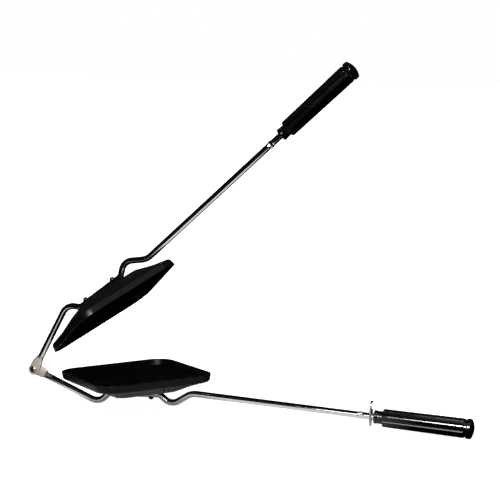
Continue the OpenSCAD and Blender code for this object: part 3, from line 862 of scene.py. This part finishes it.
@dataclass(frozen=True)
class BentRod:
    """The rod of a half: a flattened eye, a hump, the stretch riveted to the pan, a second hump, and the long
    handle straight with its swaged ears."""

    pan: PressedPan
    diameter: float = 6
    bend_r: float = 7
    hinge_hump_r: float = 12
    handle_hump_r: float = 11
    handle_bend_r: float = 16
    seat_gap: float = 0.05
    flat_inset: float = 11.8
    hinge_hump: tuple[float, float] = (10.5, 9.6)
    handle_hump: tuple[float, float] = (11.5, 9.7)
    dip_run: float = 20
    dip_drop: float = 11.5
    dip_reach: float = 15.7
    handle_angle: float = math.radians(5.2)
    handle_length: float = 173.5
    shoulder_depth: float = 20
    thread_d: float = 5
    thread_length: float = 55.5
    ear_offset: float = 12.5
    ear_width: float = 7
    ear_thickness: float = 4.6
    ear_dent_r: float = 6
    eye_d: float = 10.5
    eye_thickness: float = 2.9
    eye_edge_r: float = 0.8
    lap_gap: float = 0.1
    neck_start: float = 7
    step_start: float = 11
    neck_end: float = 15
    hinge_hole_d: float = 4.1
    rivet_hole_d: float = 3.3
    spot_d: float = 5.4
    spot_depth: float = 0.6
    rivet_inset: float = 8.5
    around: int = 40
    bend_steps: int = 14
    straight_step: float = 6

    @property
    def radius(self) -> float:
        """Radius of the round rod."""
        return self.diameter / 2

    @property
    def level(self) -> float:
        """Depth of the rod's centre line on the pan's flat."""
        return self.pan.depth + self.seat_gap + self.radius

    @property
    def flat(self) -> tuple[float, float]:
        """Where the stretch on the pan starts and ends."""
        reach = self.pan.half_diagonal(self.pan.crown_inset)
        end = self.pan.centre + reach + self.dip_reach - self.dip_run - self.handle_hump[0]
        return self.pan.centre - reach + self.flat_inset, end

    @property
    def dip(self) -> np.ndarray:
        """Corner where the handle straight begins."""
        end = self.flat[1]
        top = self.level + self.handle_hump[1]
        return np.array([end + self.handle_hump[0] + self.dip_run, top - self.dip_drop])

    @property
    def rivet_places(self) -> tuple[float, float]:
        """Distances of the two pan rivets from the hinge."""
        return self.flat[0] + self.rivet_inset, self.flat[1] - self.rivet_inset

    def along_handle(self, station: float) -> np.ndarray:
        """Point of the handle's centre line at a distance from its first corner."""
        return self.dip + station * np.array([math.cos(self.handle_angle), math.sin(self.handle_angle)])

    def corners(self) -> list[np.ndarray]:
        """Corners of the centre line from the hinge to the end of the thread."""
        start, end = self.flat
        return [
            np.zeros(2),
            np.array([start - self.hinge_hump[0], self.level + self.hinge_hump[1]]),
            np.array([start, self.level]),
            np.array([end, self.level]),
            np.array([end + self.handle_hump[0], self.level + self.handle_hump[1]]),
            self.dip,
            self.along_handle(self.handle_length + self.shoulder_depth),
        ]

    def heat_at(self, x: float) -> float:
        """Share of heat tint at a distance from the hinge: full on the pan, none past the humps."""
        start, end = self.flat
        return smooth((x - start + 6) / 12) * smooth((end + 45 - x) / 25)

    def eye_station(self, along: float, direction: float) -> Station:
        """Section of the flattened end.

        Args:
            along: Distance from the hinge axis, negative past it.
            direction: Angle of the arm.

        Returns:
            A rounded bar that narrows and thickens into the round rod.
        """
        eye_r, edge = self.eye_d / 2, self.eye_edge_r
        bar = eye_r - edge / 2
        circle = math.sqrt(max(eye_r**2 - along**2, 0))
        narrow = smooth((along - self.neck_start) / (self.neck_end - self.neck_start))
        thick = smooth((along - self.step_start) / (self.neck_end - self.step_start))
        wide = circle if along < 0 else max(circle, bar)
        from_tip = min(along + eye_r, edge)
        rounding = edge - math.sqrt(max(edge**2 - (edge - from_tip) ** 2, 0))
        half = self.eye_thickness / 2 - rounding
        wide = mix(wide, self.radius, narrow)
        return Station(
            along * math.cos(direction), along * math.sin(direction), direction,
            wide=max(wide, 0.3), thick=mix(half, self.radius, thick),
            edge=min(mix(edge, self.radius, thick), max(wide, 0.3), mix(half, self.radius, thick)),
            shift=mix(self.lap_gap / 2 + self.eye_thickness / 2, 0, thick),
            pressed=1 - smooth((along - self.neck_start - 3) / (self.neck_end - self.neck_start)),
        )

    def ear_station(self, station: float) -> Station:
        """Section of the handle straight, pressed into two ears at one place."""
        off = abs(station - (self.handle_length - self.ear_offset))
        ear_r, dent = self.ear_width / 2, self.ear_dent_r
        wide = max(self.radius, math.sqrt(max(ear_r**2 - off**2, 0)))
        thick = min(self.radius, self.ear_thickness / 2 + dent - math.sqrt(max(dent**2 - off**2, 0)))
        x, y = self.along_handle(station)
        return Station(x, y, self.handle_angle, wide=wide, thick=thick, pressed=0.15 * smooth((5 - off) / 3))

    def stations(self) -> list[Station]:
        """Every section from the tip of the eye to the end of the thread."""
        corners = self.corners()
        radii = [self.hinge_hump_r, self.bend_r, self.bend_r, self.handle_hump_r, self.handle_bend_r]
        arm = corners[1] - corners[0]
        direction = math.atan2(arm[1], arm[0])
        tip = [-self.eye_d / 2 * math.cos(math.radians(a)) for a in range(0, 90, 8)]
        bar = np.linspace(0, self.neck_end, 31)[1:]
        found = [self.eye_station(s, direction) for s in [*tip, 0.0, *bar]]
        for k, radius in enumerate(radii):
            bend = Corner.of(corners[k], corners[k + 1], corners[k + 2], radius)
            found += self.straight((found[-1].x, found[-1].y), bend.first)
            turn = math.copysign(math.pi / 2, bend.sweep)
            for i, (x, y) in enumerate(bend.points(self.bend_steps)):
                angle = bend.start + bend.sweep * i / self.bend_steps + turn
                found.append(Station(x, y, angle, wide=self.radius, heat=self.heat_at(x)))
        begin = float(np.linalg.norm(bend.last - self.dip))
        ear = self.handle_length - self.ear_offset
        before = np.linspace(begin, ear - 5, 26)[1:]
        at_ear = np.linspace(ear - 4.75, ear + 4.75, 39)
        after = np.linspace(ear + 5, self.handle_length + self.shoulder_depth, 6)
        found += [self.ear_station(s) for s in [*before, *at_ear, *after]]
        end_x, end_y = self.along_handle(self.handle_length + self.shoulder_depth)
        found.append(Station(end_x, end_y, self.handle_angle, wide=self.thread_d / 2))
        end_x, end_y = self.along_handle(self.handle_length + self.shoulder_depth + self.thread_length)
        found.append(Station(end_x, end_y, self.handle_angle, wide=self.thread_d / 2))
        return found

    def straight(self, start: Sequence, end: Sequence) -> list[Station]:
        """Sections between two points, both left out."""
        start, end = np.array(start), np.array(end)
        way = end - start
        steps = max(2, round(float(np.linalg.norm(way)) / self.straight_step))
        angle = math.atan2(way[1], way[0])
        places = [start + way * k / steps for k in range(1, steps)]
        return [Station(x, y, angle, wide=self.radius, heat=self.heat_at(x)) for x, y in places]

    def cutters(self) -> list[tuple[Vector, Vector, float]]:
        """Round holes of the rod: start, end and radius of each."""
        across = Vector((0, 0, self.diameter))
        holes = [(-across, across, self.hinge_hole_d / 2)]
        top = self.level + self.radius
        for x in self.rivet_places:
            holes.append((Vector((x, 0, 0)), Vector((x, top + self.diameter, 0)), self.rivet_hole_d / 2))
            holes.append((Vector((x, top - self.spot_depth, 0)), Vector((x, top + self.diameter, 0)), self.spot_d / 2))
        return holes

    def build(self, side: Side, stance: Stance, rack: FinishRack, tree: SweepTree) -> bpy.types.Object:
        """Makes the rod of one half.

        Args:
            side: Half of the toaster.
            stance: Where the halves are.
            rack: Materials.
            tree: The sweep tree.

        Returns:
            The rod, riding on its half in place of its CAD node.
        """
        mesh = tidy_mesh(swept(tree, self.stations(), self.around, rack["rod_chrome"]), 40, merge=0.001)
        mesh = drilled(mesh, self.cutters())
        stance.place(mesh, side)
        tidy_mesh(mesh, 40)
        rod = show(side.node("bent_rod"), mesh, rack["rod_chrome"])
        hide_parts(side.node("rod"))
        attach(rod, side.body)
        return rod


def drilled(mesh: bpy.types.Mesh, holes: Iterable[tuple[Vector, Vector, float]]) -> bpy.types.Mesh:
    """Cuts round holes into a mesh.

    Args:
        mesh: Closed mesh.
        holes: Start, end and radius of each hole.

    Returns:
        New mesh with the holes.
    """
    target = bpy.data.objects.new("drilled", mesh)
    bpy.context.scene.collection.objects.link(target)
    tools = []
    for start, end, radius in holes:
        way = end - start
        turn = way.to_track_quat("Z", "Y").to_matrix().to_4x4()
        bm = bmesh.new()
        bmesh.ops.create_cone(bm, cap_ends=True, segments=48, radius1=radius, radius2=radius, depth=way.length,
                              matrix=Matrix.Translation((start + end) / 2) @ turn)
        tool_mesh = bpy.data.meshes.new("drill")
        bm.to_mesh(tool_mesh)
        bm.free()
        tool = bpy.data.objects.new("drill", tool_mesh)
        bpy.context.scene.collection.objects.link(tool)
        tools.append(tool)
        cut = target.modifiers.new("hole", "BOOLEAN")
        cut.operation = "DIFFERENCE"
        cut.solver = "EXACT"
        cut.object = tool
    result = evaluated_mesh(target)
    for tool in tools:
        bpy.data.objects.remove(tool)
    return result


@dataclass(frozen=True)
class Rivets:
    """The rivets: two through rod and pan on each half, and the hinge rivet through both eyes."""

    rod: BentRod
    shank_d: float = 3.2
    head_d: float = 5.3
    head_h: float = 2.8
    inner_head_d: float = 9
    inner_head_h: float = 1
    hinge_shank_d: float = 4
    hinge_head_d: float = 6
    hinge_head_h: float = 1.4
    washer_t: float = 0.8

    def pan_rivets(self, side: Side, stance: Stance, rack: FinishRack, tree: RivetTree) -> bpy.types.Object:
        """Makes the two pan rivets of a half, as one piece in place of both CAD nodes."""
        pan = self.rod.pan
        inside = pan.depth - pan.wall
        seat = self.rod.level + self.rod.radius - self.rod.spot_depth
        start = points_mesh("rivet_places", [(x, inside, 0) for x in self.rod.rivet_places], False)
        mesh = run_tree(tree.tree, start, {
            "Head Diameter": self.head_d, "Head Height": self.head_h, "Tail Diameter": self.inner_head_d,
            "Tail Height": self.inner_head_h, "Shank Diameter": self.shank_d, "Grip Length": seat - inside,
            "Turn": (math.radians(-90), 0, 0), "Finish": rack["rivet_steel"],
        })
        stance.place(mesh, side)
        piece = show(side.node("pan_rivets"), tidy_mesh(mesh, 50, merge=1e-7), rack["rivet_steel"])
        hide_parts(side.node("hinge_side_rivet"), side.node("handle_side_rivet"))
        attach(piece, side.body)
        return piece

    def hinge_rivet(self, stance: Stance, rack: FinishRack, tree: RivetTree) -> bpy.types.Object:
        """Makes the hinge rivet, which stays with the lower half."""
        front = -(self.rod.lap_gap / 2 + self.rod.eye_thickness + self.rod.lap_gap)
        back = self.rod.lap_gap / 2 + self.rod.eye_thickness + self.washer_t
        start = points_mesh("hinge_place", [(0, 0, front)], False)
        mesh = run_tree(tree.tree, start, {
            "Head Diameter": self.hinge_head_d, "Head Height": self.hinge_head_h,
            "Tail Diameter": self.hinge_head_d, "Tail Height": self.hinge_head_h,
            "Shank Diameter": self.hinge_shank_d, "Grip Length": back - front,
            "Turn": (0, 0, 0), "Finish": rack["hinge_steel"],
        })
        stance.place(mesh, Side.LOWER)
        piece = show("domed_hinge_rivet", tidy_mesh(mesh, 50, merge=1e-7), rack["hinge_steel"])
        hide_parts("hinge_rivet")
        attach(piece, Side.LOWER.body)
        return piece


@dataclass(frozen=True)
class FlutedGrip:
    """Grip of a half: a necked front, a long fluted body, and the end cap behind a groove."""

    rod: BentRod
    neck_d: float = 12.2
    neck_length: float = 8
    neck_waist: float = 0.3
    neck_lip_length: float = 3.6
    neck_edge_r: float = 0.4
    front_d: float = 16.4
    end_d: float = 17.4
    length: float = 73.5
    edge_r: float = 0.9
    flutes: int = 8
    flute_r: float = 6
    flute_depth: float = 0.9
    ridge_softness: float = 0.35
    bore_r: float = 3.1
    cap_d: float = 17.9
    cap_length: float = 7
    collar_length: float = 1.5
    groove_depth: float = 0.8
    dome_r: float = 16
    cap_edge_r: float = 1.5
    spigot_length: float = 5
    spigot_r: float = 5.45
    around: int = 192
    cap_around: int = 96
    edge_steps: int = 6

    @property
    def start(self) -> float:
        """Station of the grip's front on the handle straight."""
        return self.rod.handle_length

    @property
    def end(self) -> float:
        """Station of the end of the grip's body."""
        return self.start + self.neck_length + self.length

    def station(self, at: float, radius: float, fluted: float = 0.0) -> Station:
        """Round section of the grip, fluted where asked."""
        x, y = self.rod.along_handle(at)
        front, end = self.front_d / 2, self.end_d / 2
        share = (at - self.start - self.neck_length) / self.length
        offset = front + self.flute_r - self.flute_depth + (end - front) * share
        return Station(x, y, self.rod.handle_angle, wide=radius, fluted=fluted, flute_offset=offset)

    def grip_sections(self) -> list[Station]:
        """Sections of the grip, from the bore at the front over the outside to the recess at the end."""
        neck, front, end, edge = self.neck_d / 2, self.front_d / 2, self.end_d / 2, self.edge_r
        body = self.start + self.neck_length
        found = [self.station(self.start + 0.4, self.bore_r), self.station(self.start, self.bore_r)]
        outline = rounded_line(
            [(self.start, self.bore_r), (self.start, neck), (self.start + self.neck_lip_length / 2, neck),
             (self.start + self.neck_lip_length, neck - self.neck_waist), (body, neck - self.neck_waist)],
            [self.neck_edge_r, 0.8, 2.0], self.edge_steps)
        found += [self.station(at, radius) for at, radius in outline[1:]]
        found.append(self.station(body, neck - self.neck_waist, 1.0))
        shell = rounded_line(
            [(body, neck - self.neck_waist), (body, front), (self.end, end), (self.end, self.spigot_r)],
            [edge, edge], self.edge_steps)
        middle = len(shell) // 2
        run = [tuple(mix(shell[middle - 1][k], shell[middle][k], t / 12) for k in (0, 1)) for t in range(1, 12)]
        shell = shell[:middle] + run + shell[middle:]
        found += [self.station(at, radius, 1.0) for at, radius in shell[1:]]
        found.append(self.station(self.end - self.spigot_length + 0.5, self.spigot_r, 0.0))
        return found

    def cap_sections(self) -> list[Station]:
        """Sections of the end cap, from its spigot to the tip of its dome."""
        cap_r = self.cap_d / 2
        collar_r = self.end_d / 2 - self.groove_depth
        cap_start = self.end + self.collar_length
        tip = cap_start + self.cap_length
        dome = tip - self.dome_r
        edge_x = dome + math.sqrt((self.dome_r - self.cap_edge_r) ** 2 - (cap_r - self.cap_edge_r) ** 2)
        edge_angle = math.asin((edge_x - dome) / (self.dome_r - self.cap_edge_r))
        line = [
            (self.end - self.spigot_length, 0.02), (self.end - self.spigot_length, self.spigot_r - 0.05),
            (self.end, self.spigot_r - 0.05), (self.end, collar_r), (cap_start, collar_r),
        ]
        for k in range(self.edge_steps + 1):
            a = math.radians(-90 + 90 * k / self.edge_steps)
            line.append((cap_start + self.edge_r * (1 + math.sin(a)), cap_r - self.edge_r * (1 - math.cos(a))))
        for k in range(self.edge_steps + 1):
            a = edge_angle * k / self.edge_steps
            line.append((edge_x + self.cap_edge_r * math.sin(a), cap_r - self.cap_edge_r * (1 - math.cos(a))))
        for k in range(1, 25):
            a = mix(edge_angle, math.pi / 2, k / 24)
            line.append((dome + self.dome_r * math.sin(a), max(self.dome_r * math.cos(a), 0.02)))
        return [self.station(at, radius) for at, radius in line]

    def build(self, side: Side, stance: Stance, rack: FinishRack, tree: SweepTree) -> list[bpy.types.Object]:
        """Makes grip and end cap of one half.

        Args:
            side: Half of the toaster.
            stance: Where the halves are.
            rack: Materials.
            tree: The sweep tree.

        Returns:
            Both pieces, riding on their half in place of their CAD nodes.
        """
        finish = rack["grip_plastic"]
        pieces = []
        for name, node, sections, around in (
            ("fluted_grip", "grip", self.grip_sections(), self.around),
            ("domed_end_cap", "end_cap", self.cap_sections(), self.cap_around),
        ):
            mesh = swept(tree, sections, around, finish, Flutes=self.flutes, Flute_Radius=self.flute_r,
                         Ridge_Softness=self.ridge_softness)
            stance.place(mesh, side)
            tidy_mesh(mesh, 35)
            piece = show(side.node(name), mesh, finish)
            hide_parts(side.node(node))
            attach(piece, side.body)
            pieces.append(piece)
        return pieces


@dataclass(frozen=True)
class LockClip:
    """The stamped sheet clip: the CAD outline with the soft edges that a stamping has."""

    edge_r: float = 0.3
    edge_steps: int = 3

    def build(self, rack: FinishRack) -> bpy.types.Object:
        """Makes the clip, riding on its own body.

        Args:
            rack: Materials.

        Returns:
            The clip in place of its CAD node.
        """
        mesh = frame["nodes"]["lock_clip"].data.copy()
        bm = bmesh.new()
        bm.from_mesh(mesh)
        bmesh.ops.remove_doubles(bm, verts=bm.verts, dist=0.001 * MM)
        bmesh.ops.dissolve_limit(bm, angle_limit=math.radians(1), verts=bm.verts, edges=bm.edges)
        bm.to_mesh(mesh)
        bm.free()
        carrier = bpy.data.objects.new("carrier", mesh)
        bpy.context.scene.collection.objects.link(carrier)
        bevel = carrier.modifiers.new("stamped_edge", "BEVEL")
        bevel.width = self.edge_r * MM
        bevel.segments = self.edge_steps
        bevel.limit_method = "ANGLE"
        bevel.angle_limit = math.radians(50)
        made = evaluated_mesh(carrier)
        piece = show("stamped_lock_clip", tidy_mesh(made, 50), rack["clip_steel"])
        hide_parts("lock_clip")
        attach(piece, "clip")
        return piece


# Studio


@dataclass(frozen=True)
class Lamp:
    """A soft light: where it stands, where it points, how large and how bright it is."""

    name: str
    place: tuple[float, float, float]
    target: tuple[float, float, float]
    size: tuple[float, float]
    radiance: float
    lights_matt: bool = True

    def build(self) -> None:
        """Adds the light to the scene."""
        data = bpy.data.lights.new(self.name, "AREA")
        data.shape = "RECTANGLE"
        data.size, data.size_y = self.size
        data.energy = self.radiance * math.pi * self.size[0] * self.size[1]
        lamp = bpy.data.objects.new(self.name, data)
        bpy.context.scene.collection.objects.link(lamp)
        lamp.location = self.place
        lamp.rotation_euler = (Vector(self.target) - Vector(self.place)).to_track_quat("-Z", "Y").to_euler()
        lamp.visible_camera = False
        lamp.visible_diffuse = self.lights_matt


@dataclass(frozen=True)
class Sky:
    """Soft light from above that no piece mirrors."""

    name: str
    strength: float
    spread: float
    lean: tuple[float, float]

    def build(self) -> None:
        """Adds the light to the scene."""
        data = bpy.data.lights.new(self.name, "SUN")
        data.energy = self.strength
        data.angle = math.radians(self.spread)
        sky = bpy.data.objects.new(self.name, data)
        bpy.context.scene.collection.objects.link(sky)
        sky.rotation_euler = (math.radians(self.lean[0]), math.radians(self.lean[1]), 0)
        sky.visible_glossy = False


@dataclass(frozen=True)
class Studio:
    """White to the eye all round, and in reflections a painted sheet of glowing white paper in a dark room."""

    floor_r: float = 40.0
    paper: str = "#f6f6f5"
    paper_glow: float = 0.95
    # Painted shade: colour of the floor for bounced light, dark grey instead of white
    paper_bounce: str = "#3c3c3a"
    paper_mirrored: str = "#fcfcfa"
    sheet_middle: tuple[float, float] = (-0.03, -0.135)
    sheet_half: tuple[float, float] = (0.17, 0.165)
    # Painted reflection: glow of the sheet, seen only in reflections
    sheet_glow: float = 0.15
    sheet_fade: float = 0.02
    room: float = 0.004
    skies: tuple[Sky, ...] = (Sky("soft_sun", 1.6, 30, (22, -24)), Sky("overcast", 1.0, 150, (0, 0)))
    lamps: tuple[Lamp, ...] = field(default_factory=lambda: (
        Lamp("window", (-0.08, -1.33, 0.52), (0.06, 0, 0.05), (0.32, 0.24), 7, False),
        Lamp("key_softbox", (0.08, -1.17, 0.73), (0.0, 0, 0.05), (0.22, 0.22), 150, False),
        Lamp("high_card", (0.31, -0.34, 0.95), (-0.1, 0, 0.1), (0.55, 0.55), 1.3, False),
    ))

    def build(self) -> None:
        """Adds floor, world and lights."""
        self.build_floor()
        self.build_world()
        for light in (*self.skies, *self.lamps):
            light.build()

    def build_floor(self) -> None:
        """Adds the floor: white to the eye, and in reflections a painted white sheet that glows, with near black past
        it.
        """
        bm = bmesh.new()
        bmesh.ops.create_circle(bm, cap_ends=True, segments=96, radius=self.floor_r)
        mesh = bpy.data.meshes.new("floor")
        bm.to_mesh(mesh)
        bm.free()
        material = bpy.data.materials.new("white_paper_sheet")
        material.use_nodes = True
        tree = material.node_tree
        tree.nodes.clear()
        ray = add_node(tree, "ShaderNodeLightPath").outputs
        place = add_node(tree, "ShaderNodeTexCoord").outputs["Object"]
        from_middle = add_node(tree, "ShaderNodeVectorMath", {0: place, 1: (*self.sheet_middle, 0.0)},
                               operation="SUBTRACT")
        either_side = add_node(tree, "ShaderNodeVectorMath", {0: from_middle}, operation="ABSOLUTE")
        off = add_node(tree, "ShaderNodeSeparateXYZ", {0: either_side}).outputs
        on_sheet = [
            add_node(tree, "ShaderNodeMapRange", {0: off[axis], 1: half + self.sheet_fade, 2: half - self.sheet_fade})
            for axis, half in zip("XY", self.sheet_half)
        ]
        covered = add_node(tree, "ShaderNodeMath", {0: on_sheet[0], 1: on_sheet[1]}, operation="MULTIPLY")
        # Painted reflection: in reflections the floor is white on the sheet and painted near black past it
        shade = add_node(tree, "ShaderNodeMix", {0: covered, "A": linear("#020202"), "B": linear(self.paper_mirrored)},
                         data_type="RGBA").outputs["Result"]
        glow = add_node(tree, "ShaderNodeEmission", {"Strength": self.paper_glow})
        lit = add_node(tree, "ShaderNodeBsdfDiffuse", {"Color": linear(self.paper)})
        seen = add_node(tree, "ShaderNodeAddShader", {0: lit, 1: glow})
        shaded = add_node(tree, "ShaderNodeBsdfDiffuse", {"Color": shade})
        # Painted reflection: the sheet glows in reflections only, so that it stays bright where no lamp lights it
        strength = add_node(tree, "ShaderNodeMath", {0: covered, 1: self.sheet_glow}, operation="MULTIPLY")
        painted_sheet_gleam = add_node(tree, "ShaderNodeEmission", {"Strength": strength})
        mirrored = add_node(tree, "ShaderNodeAddShader", {0: shaded, 1: painted_sheet_gleam})
        # Painted shade: to bounced light the floor is dark grey, not white, which keeps the pieces' undersides dark
        bounced = add_node(tree, "ShaderNodeBsdfDiffuse", {"Color": linear(self.paper_bounce)})
        direct = add_node(tree, "ShaderNodeMixShader", {0: ray["Is Camera Ray"], 1: bounced, 2: seen})
        surface = add_node(tree, "ShaderNodeMixShader", {0: ray["Is Glossy Ray"], 1: direct, 2: mirrored})
        add_node(tree, "ShaderNodeOutputMaterial", {"Surface": surface})
        show("floor", mesh, material)

    def build_world(self) -> None:
        """Adds the surroundings: white to the eye, a dark room otherwise."""
        world = bpy.data.worlds.new("studio")
        bpy.context.scene.world = world
        world.use_nodes = True
        tree = world.node_tree
        tree.nodes.clear()
        ray = add_node(tree, "ShaderNodeLightPath").outputs
        level = add_node(tree, "ShaderNodeMapRange", {0: ray["Is Camera Ray"], 3: self.room, 4: 1.0})
        look = add_node(tree, "ShaderNodeBackground", {"Color": linear("#ffffff"), "Strength": level})
        add_node(tree, "ShaderNodeOutputWorld", {"Surface": look})


@dataclass(frozen=True)
class PhotoCamera:
    """Camera at the photograph's place, given round the closed toaster's hinge before it is laid down."""

    azimuth: float = 17.034
    elevation: float = 5.839
    roll: float = -1.526
    distance: float = 1399
    aim: tuple[float, float, float] = (218.23, 0, 115.24)
    focal_px: float = 1542.5
    picture_px: float = 500
    sensor: float = 36

    def build(self, stance: Stance) -> bpy.types.Object:
        """Adds the camera.

        Args:
            stance: Where the toaster is.

        Returns:
            The camera, set as the scene's own.
        """
        a, e, r = (math.radians(v) for v in (self.azimuth, self.elevation, self.roll))
        back = Vector((math.sin(a) * math.cos(e), -math.cos(a) * math.cos(e), math.sin(e)))
        level = Vector((math.cos(a), math.sin(a), 0))
        above = back.cross(level)
        right = math.cos(r) * level + math.sin(r) * above
        up = -math.sin(r) * level + math.cos(r) * above
        axes = Matrix((right, up, back)).transposed().to_4x4()
        spot = (Vector(self.aim) + self.distance * back) * MM
        laid = Matrix.Translation(stance.hinge) @ Matrix.Rotation(-stance.rest_tilt, 4, "Y")
        data = bpy.data.cameras.new("photo_camera")
        data.sensor_width = self.sensor
        data.sensor_fit = "HORIZONTAL"
        data.lens = self.focal_px / self.picture_px * self.sensor
        camera = bpy.data.objects.new("photo_camera", data)
        bpy.context.scene.collection.objects.link(camera)
        camera.matrix_world = laid @ Matrix.Translation(spot) @ axes
        bpy.context.scene.camera = camera
        return camera


def main() -> None:
    """Builds the toaster's pieces in order, then the studio and the camera."""
    logging.basicConfig(level=logging.INFO, format="%(message)s", force=True)
    rack = FinishRack(FINISHES)
    sweep, rivet_tree = SweepTree(), RivetTree()
    pan = PressedPan()
    rod = BentRod(pan)
    grip = FlutedGrip(rod)
    rivets = Rivets(rod)
    stance = Stance.of_frame(frame["joints"], rod.handle_angle)
    pieces = []
    for side in Side:
        pieces.append(pan.build(side, stance, rack))
        pieces.append(rod.build(side, stance, rack, sweep))
        pieces.append(rivets.pan_rivets(side, stance, rack, rivet_tree))
        pieces += grip.build(side, stance, rack, sweep)
        rack.dress_node(side.node("grip_nut"), "nut_brass")
        rack.dress_node(side.node("grip_washer"), "washer_steel")
    pieces.append(rivets.hinge_rivet(stance, rack, rivet_tree))
    pieces.append(LockClip().build(rack))
    rack.dress_node("hinge_washer", "washer_steel")
    for piece in pieces:
        log.info("%s: %d faces", piece.name, len(piece.data.polygons))
    Studio().build()
    PhotoCamera().build(stance)
    bpy.context.scene.view_settings.view_transform = "Standard"


if __name__ == "__main__":
    main()
